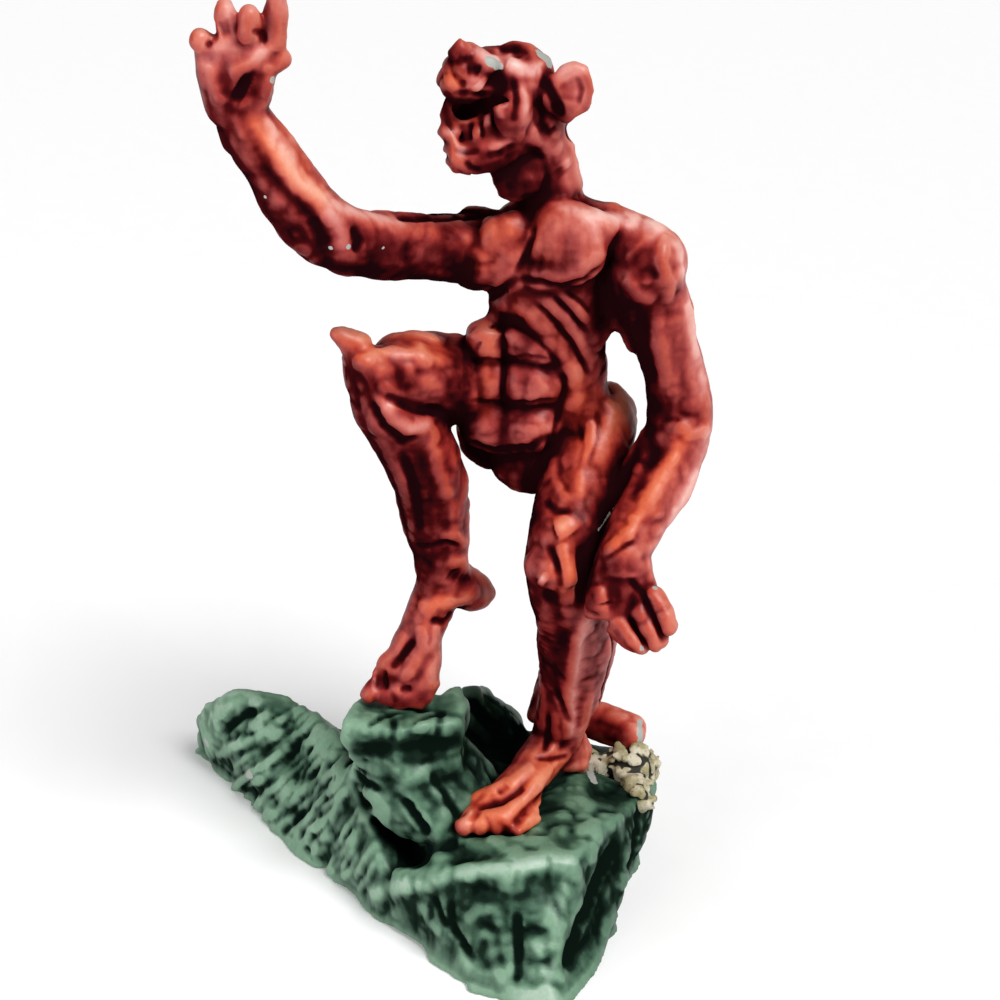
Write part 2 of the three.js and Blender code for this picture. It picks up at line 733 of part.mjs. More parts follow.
// Each casting is cut by its neighbours with a glue gap.
const grownTorso = torsoForm(glueGap);
const grownRightArm = rightArmForm(glueGap);
const grownLeftArm = leftArmForm(glueGap);
const grownRightLeg = rightLegForm(glueGap);
const grownLeftLeg = leftLegForm(glueGap);
const grownTail = tailForm(glueGap);
const bedded = [grownLeftLeg, grownRightLeg, grownTail, ledgeForm(glueGap), fillerForm(glueGap)];

// Finishes
const redPaint = new THREE.MeshStandardMaterial({ color: 0x8f2a1e, roughness: 0.38, metalness: 0 });
const greenPaint = new THREE.MeshStandardMaterial({ color: 0x2c4438, roughness: 0.5, metalness: 0 });
const filler = new THREE.MeshStandardMaterial({ color: 0xb8ac8c, roughness: 0.85, metalness: 0 });
const brass = new THREE.MeshStandardMaterial({ color: 0xb08a3e, roughness: 0.35, metalness: 1 });

const castings = [
  ["rock_base", cut(rockForm(), bedded), greenPaint],
  ["ledge_slab", cut(ledgeForm(0), [grownRightLeg]), greenPaint],
  ["torso", cut(torsoForm(0), [grownRightArm, grownLeftArm]), redPaint],
  ["head", cut(headForm(0), [grownTorso, grownRightArm]), redPaint],
  ["right_arm", rightArmForm(0), redPaint],
  ["left_arm", cut(leftArmForm(0), [grownLeftLeg]), redPaint],
  ["right_leg", cut(rightLegForm(0), [grownTorso]), redPaint],
  ["left_leg", cut(leftLegForm(0), [grownTorso]), redPaint],
  ["tail", cut(tailForm(0), [grownTorso, grownLeftLeg]), redPaint],
  ["filler_patch", cut(fillerForm(0), [grownTail, grownLeftLeg]), filler],
];

function piece(name, body, material) {
  const { numProp, vertProperties, triVerts } = body.getMesh();
  const geometry = new THREE.BufferGeometry();
  geometry.setAttribute("position", new THREE.BufferAttribute(vertProperties, numProp));
  geometry.setIndex(new THREE.BufferAttribute(triVerts, 1));
  geometry.computeVertexNormals();
  const mesh = new THREE.Mesh(geometry, material);
  mesh.name = name;
  return mesh;
}

const figure = new THREE.Group();
figure.name = "gargoyle_figure";
for (const [name, body, material] of castings) {
  figure.add(piece(name, mainBody(cut(body, pinHoles)), material));
}
for (const { name, body } of pins) {
  figure.add(piece(name, body, brass));
}

export default figure;
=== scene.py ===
"""Miniature gargoyle figure: hand-painted castings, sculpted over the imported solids, on a pale floor."""
import math

import bpy
import numpy as np
import openvdb
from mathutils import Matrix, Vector


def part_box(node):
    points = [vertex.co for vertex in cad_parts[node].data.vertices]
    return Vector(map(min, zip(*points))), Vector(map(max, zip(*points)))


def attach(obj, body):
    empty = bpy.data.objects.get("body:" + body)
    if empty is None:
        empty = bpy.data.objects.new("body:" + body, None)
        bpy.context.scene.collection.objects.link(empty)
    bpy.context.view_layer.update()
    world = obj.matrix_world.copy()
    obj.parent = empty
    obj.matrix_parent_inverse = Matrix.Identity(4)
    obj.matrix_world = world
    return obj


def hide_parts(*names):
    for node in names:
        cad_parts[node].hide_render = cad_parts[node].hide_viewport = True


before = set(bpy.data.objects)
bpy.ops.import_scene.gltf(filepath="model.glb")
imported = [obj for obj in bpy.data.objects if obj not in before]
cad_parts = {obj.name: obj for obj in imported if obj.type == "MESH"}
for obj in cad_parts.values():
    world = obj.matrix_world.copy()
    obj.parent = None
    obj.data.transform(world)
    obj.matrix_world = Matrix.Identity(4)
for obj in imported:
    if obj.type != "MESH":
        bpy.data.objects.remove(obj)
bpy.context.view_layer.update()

MM = 0.001

# Camera of the photograph, in millimetres and degrees
IMAGE_SIZE = 1000
LENS_ANGLE = 28
LOOK_DOWN = 25
CAMERA_DISTANCE = 124.33
CAMERA_TARGET = np.array([7.0, -8.0, 33.0])
NEAR_CLIP = 1.0
TILT = math.radians(LOOK_DOWN)
FORWARD = np.array([0, math.cos(TILT), -math.sin(TILT)])
UPWARD = np.array([0, math.sin(TILT), math.cos(TILT)])
EYE = CAMERA_TARGET - CAMERA_DISTANCE * FORWARD

# Rays that find the surface, in millimetres, with their step as a share of a cell
STRAIGHT_START = 60
RAY_REACH = (20, 190)
RAY_STEP = 0.7
# Spacing of places along a path, in pixels of the photograph and in millimetres of a straight view
PHOTO_SPACING = 6
STRAIGHT_SPACING = 0.5

# Sculpting grids, in millimetres
FIGURE_VOXEL = 0.11
ROCK_VOXEL = 0.175
FILLER_VOXEL = 0.1
BAND = 1.4
ROOM = 1.6
FILLER_ROOM = 3.2
LABEL_VOXEL = 0.35
LABEL_BAND = 3.5
JOINT_INSET = 0.25

# Scales of the hollows and ridges whose painted shade and painted highlight set the paint's tone, in
# millimetres
FINE_RADIUS = 0.24
BROAD_RADIUS = 0.9
DEEP_RADIUS = 2.4
# Softening of the surface directions, in cells, and the reach of a painted mark, in its widths
NORMAL_BLUR = 1.0
MARK_REACH = 2

# The three bodies that are sculpted, each from its castings
FIGURE_NODES = ["torso", "head", "right_arm", "left_arm", "right_leg", "left_leg", "tail"]
ROCK_NODES = ["rock_base", "ledge_slab"]
FILLER_NODES = ["filler_patch"]
PIN_NODES = [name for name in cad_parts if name.endswith("_pin")]

# How far the sculpting softens the castings, in millimetres, with less on hands, feet and head
BODY_SOFT = 0.36
FINE_SOFT = 0.2
FINE_ZONES = [
    ((-7.9, -7.3, 60.5), 5.0),
    ((15.0, -6.5, 25.5), 4.5),
    ((1.0, -1.0, 17.0), 4.5),
    ((8.0, -4.0, 8.5), 5.5),
    ((7.2, -1.4, 57.0), 6.0),
]
ROCK_SOFT = 0.3
FILLER_SOFT = 0.2
# How far beyond a zone its softening fades out, as a share of the zone's radius
ZONE_FADE = 0.4
# How far the valleys between lumps sink, as a share of the lumps' height
VALLEY_SHARE = 0.5

# Middle of the head and the way the face looks, for what is the same on its far side
HEAD_MIDDLE = np.array([7.17, -1.44, 56.97])
FACE_TURN = math.radians(-60)

# Stroke profiles: a round swelling or dent, and a sharp crease or edge
ROUND = "round"
CREASE = "crease"
ROUND_REACH = 2.2
CREASE_POWER = 1.3
END_FADE = 1.15
END_POWER = 4


def view_ray(pixel):
    """The eye and the direction through a pixel of the photograph."""
    half = IMAGE_SIZE / 2
    spread = math.tan(math.radians(LENS_ANGLE / 2)) / half
    across = (pixel[0] - half) * spread
    up = (half - pixel[1]) * spread
    direction = FORWARD + across * np.array([1.0, 0, 0]) + up * UPWARD
    return EYE, direction / np.linalg.norm(direction)


def parallel_ray(direction):
    """A ray maker for a straight view: two millimetre coordinates across it give the ray."""
    direction = np.array(direction, float)
    free = [i for i in range(3) if direction[i] == 0]

    def ray(place):
        start = -direction * STRAIGHT_START
        start[free[0]], start[free[1]] = place
        return start, direction

    return ray


PHOTO = view_ray
BACK = parallel_ray((0, -1, 0))
LEFT = parallel_ray((-1, 0, 0))
RIGHT = parallel_ray((1, 0, 0))


def spaced(places, step):
    """Points along a line through places, about a step apart."""
    places = np.array(places, float)
    if len(places) == 1:
        return places
    pieces = []
    for a, b in zip(places[:-1], places[1:]):
        count = max(1, int(round(np.linalg.norm(b - a) / step)))
        pieces.append(a + (b - a) * np.linspace(0, 1, count, endpoint=False)[:, None])
    return np.vstack(pieces + [places[-1:]])


def path_distance(points, path):
    """Distance of each point from a path, and how far along the path its nearest place is, from 0 to 1."""
    if len(path) == 1:
        return np.linalg.norm(points - path[0], axis=1), np.full(len(points), 0.5)
    lengths = np.linalg.norm(np.diff(path, axis=0), axis=1)
    starts = np.concatenate([[0], np.cumsum(lengths)])
    total = max(starts[-1], 1e-6)
    best = np.full(len(points), np.inf)
    along = np.zeros(len(points))
    for a, b, start, length in zip(path[:-1], path[1:], starts, lengths):
        step = b - a
        share = np.clip((points - a) @ step / max(length * length, 1e-9), 0, 1)
        gap = np.linalg.norm(points - a - share[:, None] * step, axis=1)
        closer = gap < best
        best[closer] = gap[closer]
        along[closer] = (start + share[closer] * length) / total
    return best, along


def profile_height(kind, distance, width, along):
    """Height of a stroke, from 0 to 1, that fades towards its two ends."""
    x = distance / width
    fade = np.clip(END_FADE - np.abs(2 * along - 1) ** END_POWER, 0, 1)
    if kind == ROUND:
        return np.exp(-x * x) * fade
    return np.clip(1 - x, 0, 1) ** CREASE_POWER * fade


def solid_distances(name, voxel, low, shape, band):
    """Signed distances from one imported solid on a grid, in millimetres."""
    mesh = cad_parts[name].data
    mesh.calc_loop_triangles()
    points = np.empty(len(mesh.vertices) * 3, np.float32)
    mesh.vertices.foreach_get("co", points)
    triangles = np.empty(len(mesh.loop_triangles) * 3, np.int32)
    mesh.loop_triangles.foreach_get("vertices", triangles)
    grid = openvdb.FloatGrid.createLevelSetFromPolygons(
        points.reshape(-1, 3) / MM,
        triangles=triangles.reshape(-1, 3).astype(np.uint32),
        transform=openvdb.createLinearTransform(voxelSize=voxel),
        halfWidth=band / voxel,
    )
    dense = np.empty(shape, np.float32)
    grid.copyToArray(dense, ijk=tuple(int(i) for i in low))
    return dense


def box_blur(field, radius, axis):
    """Running mean over 2 * radius + 1 cells along one axis."""
    width = 2 * radius + 1
    pads = [(0, 0)] * 3
    pads[axis] = (radius + 1, radius)
    sums = np.cumsum(np.pad(field, pads, mode="edge"), axis=axis, dtype=np.float32)
    count = field.shape[axis]
    high = np.take(sums, range(width, width + count), axis=axis)
    high -= np.take(sums, range(count), axis=axis)
    high /= width
    return high


def blurred(field, sigma):
    """A soft copy of a field: three running means along each axis, about a bell curve of sigma cells."""
    radius = max(1, int(round((math.sqrt(4 * sigma * sigma + 1) - 1) / 2)))
    for axis in range(3):
        for _ in range(3):
            field = box_blur(field, radius, axis)
    return field


def sampled(field, low, voxel, points):
    """Values of a grid's field at points, interpolated between cells."""
    place = points / voxel - low
    base = np.clip(np.floor(place).astype(int), 0, np.array(field.shape) - 2)
    part = place - base
    total = np.zeros(len(points))
    for corner in np.ndindex(2, 2, 2):
        weight = np.prod(np.where(corner, part, 1 - part), axis=1)
        i, j, k = (base + corner).T
        total += weight * field[i, j, k]
    return total


def lattice_noise(places, size, seed):
    """Smooth noise between -1 and 1 at places, with lumps of about a size."""
    low = np.floor(places.min(0) / size).astype(int) - 1
    high = np.ceil(places.max(0) / size).astype(int) + 2
    lattice = np.random.default_rng(seed).uniform(-1, 1, tuple(high - low)).astype(np.float32)
    whole = np.floor(places / size)
    part = places / size - whole
    return sampled(lattice, low, size, (whole + part * part * (3 - 2 * part)) * size)


class Clay:
    """A body as signed distances on a grid in millimetres, below zero inside, that strokes shape."""

    def __init__(self, names, voxel, room=ROOM):
        self.names = names
        self.voxel = voxel
        corners = [np.array(corner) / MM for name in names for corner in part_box(name)]
        self.box = np.min(corners, 0), np.max(corners, 0)
        self.low = np.floor((self.box[0] - room) / voxel).astype(int)
        self.shape = tuple(np.ceil((self.box[1] + room) / voxel).astype(int) - self.low)
        self.field = np.full(self.shape, BAND, np.float32)
        for name in names:
            np.minimum(self.field, solid_distances(name, voxel, self.low, self.shape, BAND), out=self.field)

    def softened(self, radius):
        """A softer copy of the field, blurred twice in a way that keeps limbs from shrinking."""
        once = blurred(self.field, radius / self.voxel)
        return 2 * once - blurred(once, radius / self.voxel)

    def soften(self, radius):
        """Softens the whole body by a radius."""
        self.field = self.softened(radius)

    def soften_by_zone(self, broad, fine, zones):
        """Softens by the broad radius, and by the fine one inside round zones of (middle, radius)."""
        broad_field = self.softened(broad)
        fine_field = self.softened(fine)
        for middle, radius in zones:
            reach = (1 + ZONE_FADE) * radius
            window, axes = self.window(np.array([middle]), reach)
            gap = np.sqrt(sum((axis - m) ** 2 for axis, m in zip(axes, middle)))
            share = np.clip((reach - gap) / (ZONE_FADE * radius), 0, 1).astype(np.float32)
            broad_field[window] += share * (fine_field[window] - broad_field[window])
        self.field = broad_field

    def window(self, path, reach):
        """The cells within reach of a path's box, and their coordinates along each axis."""
        first = np.floor((path.min(0) - reach) / self.voxel).astype(int) - self.low
        last = np.ceil((path.max(0) + reach) / self.voxel).astype(int) - self.low + 1
        first = np.clip(first, 0, self.shape)
        last = np.clip(last, first, self.shape)
        cells = tuple(slice(a, b) for a, b in zip(first, last))
        axes = [(np.arange(a, b) + low) * self.voxel for a, b, low in zip(first, last, self.low)]
        return cells, np.meshgrid(*axes, indexing="ij", sparse=True)

    def near(self, path, reach, depth):
        """Cells within reach of a path's box and a depth of the surface: window, indices and places."""
        cells, axes = self.window(path, reach)
        mask = np.abs(self.field[cells]) < depth
        spots = np.nonzero(mask)
        places = np.stack([axis.ravel()[i] for axis, i in zip(axes, spots)], 1)
        return cells, spots, places

    def sample(self, points):
        """Distance at points, from the nearest cell."""
        index = np.round(np.asarray(points) / self.voxel).astype(int) - self.low
        inside = np.all((index >= 0) & (index < self.shape), axis=1)
        values = np.full(len(index), BAND, np.float32)
        i, j, k = index[inside].T
        values[inside] = self.field[i, j, k]
        return values

    def hit(self, ray, place):
        """Where a view's ray meets the body, or passes it most closely."""
        start, direction = ray(place)
        steps = np.arange(*RAY_REACH, self.voxel * RAY_STEP)
        values = self.sample(start + steps[:, None] * direction)
        inside = np.nonzero(values < 0)[0]
        chosen = inside[0] if len(inside) else int(np.argmin(values))
        return start + steps[chosen] * direction, direction

    def path(self, places, ray=PHOTO, sink=0.0):
        """A path on the body through places of a view, sunk along the view by some millimetres."""
        spacing = PHOTO_SPACING if ray is PHOTO else STRAIGHT_SPACING
        found = [self.hit(ray, place) for place in spaced(places, spacing)]
        return np.array([point + sink * direction for point, direction in found])

    def stroke(self, kind, width, height, path):
        """Raises the surface along a path, or lowers it where height is below zero."""
        reach = width * (ROUND_REACH if kind == ROUND else 1.0)
        cells, spots, places = self.near(path, reach, BAND)
        distance, along = path_distance(places, path)
        change = height * profile_height(kind, distance, width, along)
        self.field[cells][spots] -= change.astype(np.float32)

    def form(self, path, radii, blend):
        """Adds a round form along a path, with one radius at each end, and blends it in."""
        distance, cells, spots = self.rounded(path, radii, blend)
        old = self.field[cells][spots]
        share = np.clip(0.5 + 0.5 * (old - distance) / blend, 0, 1)
        new = old * (1 - share) + distance * share - blend * share * (1 - share)
        self.field[cells][spots] = new.astype(np.float32)

    def hollow(self, path, radii, blend):
        """Takes a round form along a path away."""
        distance, cells, spots = self.rounded(path, radii, blend)
        old = self.field[cells][spots]
        share = np.clip(0.5 - 0.5 * (old + distance) / blend, 0, 1)
        new = old * (1 - share) - distance * share + blend * share * (1 - share)
        self.field[cells][spots] = new.astype(np.float32)

    def rounded(self, path, radii, blend):
        """Distance from a round form along a path, with the window and indices of the cells near it."""
        cells, spots, places = self.near(path, max(radii) + blend, math.inf)
        distance, along = path_distance(places, path)
        return distance - (radii[0] + (radii[1] - radii[0]) * along), cells, spots

    def roughen(self, size, height, seed):
        """Uneven, chiselled lumps of about a size, up to a height."""
        spots = np.nonzero(np.abs(self.field) < BAND / 2)
        places = (np.stack(spots, 1) + self.low) * self.voxel
        lumps = lattice_noise(places, size, seed)
        self.field[spots] -= (height * (2 * np.abs(lumps) - VALLEY_SHARE)).astype(np.float32)

    def surface(self):
        """The body's surface as points in millimetres and quads that face outwards."""
        grid = openvdb.FloatGrid(BAND)
        grid.transform = openvdb.createLinearTransform(voxelSize=self.voxel)
        grid.copyFromArray(self.field, ijk=tuple(int(i) for i in self.low))
        points, quads = grid.convertToQuads(isovalue=0.0)
        points = points.astype(float)
        quads = quads.astype(np.int64)
        a, b, c, d = (points[quads[:, i]] for i in range(4))
        volume = np.einsum("ij,ij->", a, np.cross(c - a, d - b))
        return points, (quads if volume > 0 else quads[:, ::-1])


# Clay laid on the figure: (start radius, end radius, sink below the surface, blend, places), in millimetres
# and pixels of the photograph
FIGURE_FORMS = [
    (0.75, 0.55, 0.15, 0.15, [(653, 596), (664, 610), (669, 628)]),
    (0.7, 0.5, 0.15, 0.15, [(638, 612), (650, 630), (655, 644)]),
    (0.6, 0.45, 0.15, 0.15, [(620, 622), (632, 640), (640, 648)]),
    (0.95, 0.8, 0.5, 0.35, [(481, 270), (482, 256), (492, 242), (510, 233)]),
    (1.3, 1.3, 1.1, 0.15, [(488, 341), (489, 344)]),
    (1.35, 1.25, 1.13, 0.2, [(519, 338), (541, 349)]),
    (1.29, 1.29, 1.09, 0.15, [(487, 374), (488, 385)]),
    (1.95, 1.9, 1.73, 0.15, [(527, 379), (542, 379)]),
    (1.85, 1.9, 1.62, 0.2, [(487, 422), (510, 426), (535, 423)]),
    (0.45, 0.45, 0.3, 0.3, [(382, 696), (402, 700), (426, 698)]),
    (0.6, 0.6, 0.3, 0.3, [(566, 764), (580, 764)]),
    (1.0, 1.15, 0.8, 0.4, [(598, 714), (614, 722), (630, 732)]),
    (1.3, 1.1, 1.05, 0.6, [(545, 214), (575, 220), (602, 232)]),
    (0.9, 0.8, 0.75, 0.5, [(496, 230), (526, 222)]),
    (1.0, 1.0, 0.8, 0.5, [(523, 272), (540, 274)]),
    (0.5, 0.4, 0.25, 0.2, [(446, 134), (456, 131)]),
]
# Clay at the hanging arm's armpit, between its forearm and the hip, on the waist, over the pins and on the
# brow: (start radius, end radius, blend, points), in millimetres
FIGURE_FILLS = [
    (0.8, 0.8, 0.4, [(13.6, -0.67, 46.3), (13.75, -0.6, 44.8), (14.1, -0.5, 43.3), (14.35, -0.45, 42.6)]),
    (0.5, 0.5, 0.4, [
        (13.2, -0.3, 40.6), (13.7, -0.4, 41.6), (14.3, -0.45, 41.95), (15.0, -0.5, 41.6), (15.5, -0.5, 40.4),
    ]),
    (0.55, 0.6, 0.5, [(16.5, -1.6, 34.5), (15.85, -1.9, 33.4), (14.93, -2.1, 31.5), (14.1, -2.6, 29.6)]),
    (0.85, 0.75, 0.5, [(7.4, 0.8, 43.1), (6.95, 0.9, 41.9), (6.5, 1.0, 40.6), (6.1, 1.2, 39.6)]),
    (0.75, 0.75, 0.4, [(0.05, -1.1, 15.2), (0.05, -1.1, 14.6)]),
    (0.75, 0.75, 0.4, [(12.41, 2.05, 8.2), (12.41, 2.05, 7.2)]),
    (0.75, 0.75, 0.3, [(12.5, 5.75, 29.45), (12.2, 4.2, 32.6)]),
    (0.7, 0.08, 0.15, [(4.62, -3.4, 59.75), (4.66, -3.5, 60.49)]),
]
# Clay taken off the nape, in the form of FIGURE_FILLS
FIGURE_CUTS = [
    (1.6, 1.6, 0.3, [(12.6, 0.8, 54.2), (12.85, 0.5, 53.4), (13.33, 0.3, 52.1), (13.6, 0.3, 51.2)]),
]
# Clay taken off the figure, in the form of FIGURE_FORMS
FIGURE_HOLLOWS = [
    (0.75, 0.75, 0.0, 0.3, [(439, 166), (453, 177), (468, 182), (486, 180)]),
    (0.7, 0.7, 0.0, 0.2, [(600, 72), (603, 92), (597, 113), (584, 125), (575, 131)]),
    (0.4, 0.4, 0.0, 0.2, [(436, 141), (437, 152), (443, 163)]),
    (0.5, 0.5, 0.0, 0.3, [(486, 184), (496, 193), (502, 200)]),
]
# Unevenness of the figure before and after its strokes: (size of the lumps, height, seed)
FIGURE_LUMPS = [(2.4, 0.1, 1)]
FIGURE_GRAIN = [(1.0, 0.05, 2), (0.55, 0.022, 3)]

# Sculpting strokes: (profile, width, height, places), in the same units
HEAD_STROKES = [
    (ROUND, 0.5, -0.15, [(457, 58), (468, 60)]),
    (ROUND, 0.45, 0.3, [(462, 44), (476, 51), (490, 60), (503, 63)]),
    (ROUND, 0.6, 0.25, [(506, 62), (520, 70), (536, 71)]),
    (ROUND, 0.5, -0.45, [(498, 47), (513, 48), (524, 57)]),
    (ROUND, 0.28, 0.3, [(521, 57)]),
    (ROUND, 0.4, -0.55, [(466, 69), (474, 69), (481, 72)]),
    (ROUND, 0.5, -0.55, [(492, 76), (499, 84), (503, 95)]),
    (ROUND, 0.5, 0.45, [(476, 82), (481, 87)]),
    (ROUND, 0.6, 0.35, [(446, 82), (455, 77)]),
    (CREASE, 0.3, -0.3, [(462, 80), (464, 88)]),
    (CREASE, 0.35, -0.3, [(513, 78), (516, 98), (513, 122)]),
    (ROUND, 0.5, 0.12, [(522, 80), (525, 100), (524, 126)]),
    (CREASE, 0.3, -0.2, [(541, 84), (540, 105), (543, 128)]),
    (ROUND, 0.4, 0.25, [(488, 150), (500, 145), (513, 138), (524, 132)]),
    (CREASE, 0.35, -0.3, [(487, 156), (500, 152), (515, 144)]),
    (CREASE, 0.3, -0.25, [(453, 150), (466, 153), (480, 150)]),
    (ROUND, 0.5, 0.3, [(443, 135), (450, 131)]),
    (CREASE, 0.35, -0.3, [(465, 160), (470, 168), (480, 170)]),
    (CREASE, 0.4, -0.25, [(543, 125), (550, 131), (556, 126)]),
    (ROUND, 0.4, 0.15, [(548, 122), (556, 130), (552, 138)]),
    (CREASE, 0.4, -0.15, [(525, 145), (536, 152), (545, 158)]),
    (ROUND, 0.4, 0.12, [(540, 142), (550, 150), (562, 152)]),
    (ROUND, 0.35, 0.1, [(556, 146), (560, 150)]),
    (ROUND, 0.4, 0.12, [(564, 160), (568, 168)]),
    (ROUND, 0.4, -0.12, [(558, 168), (564, 176)]),
]
# The open mouth, which is a crease on the far side
MOUTH = [(465, 107), (476, 105), (492, 103), (507, 101)]
MOUTH_SINK = 0.3
MOUTH_RADII = (0.85, 0.2)
MOUTH_BLEND = 0.1
FAR_MOUTH = (CREASE, 0.5, -0.5)
LIPS = [(452, 92), (470, 92), (490, 95), (508, 100)]
TEETH = [
    [(456, 128), (455, 142)],
    [(467, 124), (465, 140)],
    [(477, 119), (476, 138)],
    [(487, 113), (487, 128)],
    [(500, 108), (500, 118)],
]
TOOTH_GAPS = [
    [(462, 128), (460, 142)],
    [(472, 123), (471, 140)],
    [(482, 120), (482, 138)],
    [(494, 112), (494, 128)],
]
EAR_CUP = [(566, 80), (571, 90), (568, 102)]
EAR_RIM = [(562, 68), (574, 65), (585, 76), (589, 92), (584, 106), (574, 114)]
EAR_CREASE = [(577, 76), (582, 90), (579, 104)]
EAR_GAP = [(544, 80), (553, 97), (562, 117)]
# Lips, ears and teeth of both sides: (profile, width, height, sink, places)
FACE_STROKES = [
    (CREASE, 0.3, -0.3, 0.0, LIPS),
    (CREASE, 0.5, -0.7, 0.1, EAR_GAP),
    (ROUND, 0.6, -0.2, 0.0, EAR_CUP),
    (ROUND, 0.4, 0.2, 0.15, EAR_RIM),
    (CREASE, 0.3, -0.35, 0.0, EAR_CREASE),
    *[(ROUND, 0.22, 0.25, 0.0, tooth) for tooth in TEETH],
    *[(CREASE, 0.25, -0.25, 0.0, gap) for gap in TOOTH_GAPS],
]

TORSO_STROKES = [
    (CREASE, 0.32, -0.4, [(535, 225), (530, 246), (522, 263), (516, 274)]),
    (CREASE, 0.5, -0.6, [(474, 288), (488, 296), (504, 288), (519, 277)]),
    (CREASE, 0.4, -0.5, [(520, 279), (540, 282), (562, 285), (585, 280), (602, 265)]),
    (ROUND, 0.45, 0.2, [(540, 275), (563, 278), (584, 270), (600, 252)]),
    (CREASE, 0.35, -0.5, [(622, 230), (612, 248), (604, 267), (596, 291)]),
    (ROUND, 0.5, 0.2, [(572, 212), (596, 220), (620, 226)]),
    (ROUND, 0.55, 0.32, [(512, 304), (526, 312), (543, 329), (560, 353), (578, 384)]),
    (ROUND, 0.36, 0.25, [(546, 298), (564, 318), (584, 348)]),
    (ROUND, 0.32, 0.2, [(558, 292), (575, 306), (588, 322)]),
    (CREASE, 0.3, -0.3, [(536, 303), (552, 318), (572, 342), (588, 374)]),
    (CREASE, 0.28, -0.28, [(553, 296), (570, 312), (587, 332)]),
    (CREASE, 0.25, -0.2, [(566, 291), (580, 302), (590, 313)]),
    (ROUND, 0.5, -0.32, [(500, 316), (508, 319)]),
    (CREASE, 0.28, -0.2, [(502, 317), (493, 326), (484, 337), (476, 350)]),
    (CREASE, 0.26, -0.18, [(510, 322), (528, 332), (548, 350), (562, 369)]),
    (CREASE, 0.3, -0.24, [(564, 368), (564, 388), (559, 410), (553, 436)]),
    (ROUND, 0.6, 0.25, [(566, 362), (574, 378), (576, 396), (568, 412)]),
    (ROUND, 0.4, 0.2, [(508, 304), (495, 313), (487, 324), (480, 336)]),
    (CREASE, 0.5, -0.4, [(466, 440), (494, 450), (530, 447), (551, 436)]),
    (CREASE, 0.5, -0.5, [(552, 436), (546, 456), (537, 476)]),
]
BELLY_GROOVES = [
    (CREASE, 0.28, -0.24, [(505, 328), (504, 362), (503, 400)]),
    (CREASE, 0.22, -0.12, [(475, 359), (489, 359), (503, 359)]),
    (CREASE, 0.22, -0.12, [(506, 356), (525, 355), (552, 358)]),
    (CREASE, 0.24, -0.15, [(470, 400), (487, 401), (503, 402)]),
    (CREASE, 0.24, -0.14, [(506, 402), (532, 401), (557, 398)]),
]

RIGHT_ARM_STROKES = [
    (ROUND, 0.7, 0.3, [(262, 112), (272, 146), (296, 182), (325, 206), (360, 217), (400, 222)]),
    (CREASE, 0.7, -0.25, [(250, 140), (268, 172), (296, 202), (318, 222)]),
    (CREASE, 0.4, -0.5, [(398, 219), (441, 218), (480, 217)]),
    (ROUND, 0.7, 0.2, [(364, 224), (404, 232), (446, 238)]),
    (ROUND, 0.5, 0.3, [(322, 212), (336, 222), (342, 238), (340, 250)]),
    (CREASE, 0.6, -0.3, [(312, 216), (318, 230), (326, 246)]),
    (CREASE, 0.5, -0.3, [(352, 226), (358, 240), (352, 252)]),
    (ROUND, 0.6, 0.4, [(344, 258)]),
    (ROUND, 0.45, 0.35, [(303, 249)]),
    (ROUND, 1.0, -0.25, [(236, 84), (248, 90)]),
    (ROUND, 0.4, 0.3, [(228, 74), (244, 68), (262, 52), (272, 42)]),
    (ROUND, 0.45, 0.3, [(206, 60), (212, 84), (220, 106)]),
    (ROUND, 0.4, 0.3, [(268, 62), (268, 80), (264, 98)]),
    (ROUND, 0.45, -0.45, [(219, 30), (231, 27)]),
    (CREASE, 0.3, -0.4, [(252, 30), (262, 34), (266, 44)]),
    (CREASE, 0.3, -0.35, [(206, 46), (212, 42)]),
    (ROUND, 0.4, 0.25, [(212, 48), (232, 38), (252, 34)]),
]

LEFT_ARM_STROKES = [
    (ROUND, 0.6, 0.3, [(626, 219), (648, 221), (666, 232)]),
    (ROUND, 0.4, 0.35, [(667, 236), (661, 262), (670, 284), (668, 304)]),
    (ROUND, 1.1, -0.22, [(634, 250), (645, 262), (648, 282)]),
    (ROUND, 0.5, 0.25, [(622, 280), (638, 296), (654, 302)]),
    (ROUND, 0.6, 0.25, [(660, 315), (660, 350), (672, 396)]),
    (CREASE, 0.7, -0.3, [(640, 310), (644, 345), (654, 385)]),
    (CREASE, 0.3, -0.1, [(664, 420), (676, 419), (689, 428), (704, 427)]),
    (CREASE, 0.3, -0.05, [(680, 412), (692, 416), (700, 414)]),
    (ROUND, 0.4, 0.3, [(676, 424), (690, 433), (708, 431)]),
    (ROUND, 0.5, 0.3, [(684, 440), (668, 466), (652, 496), (640, 520)]),
    (ROUND, 0.5, -0.2, [(660, 446), (644, 474), (630, 502)]),
    (ROUND, 0.4, 0.3, [(648, 436), (643, 456), (634, 474)]),
    (ROUND, 0.35, 0.3, [(636, 515), (632, 528), (620, 536)]),
    (CREASE, 0.35, -0.2, [(634, 540), (622, 548), (606, 558)]),
    (ROUND, 0.35, 0.35, [(634, 532), (620, 540), (604, 552)]),
    (ROUND, 0.35, 0.35, [(600, 584), (602, 602), (606, 618)]),
    (CREASE, 0.35, -0.3, [(630, 580), (642, 592), (650, 604)]),
    (ROUND, 0.4, -0.35, [(604, 602), (604, 606)]),
]
FINGER_GAPS = [
    (CREASE, 0.3, -0.5, [(644, 600), (654, 618), (662, 638)]),
    (CREASE, 0.3, -0.5, [(630, 618), (642, 638), (646, 650)]),
]

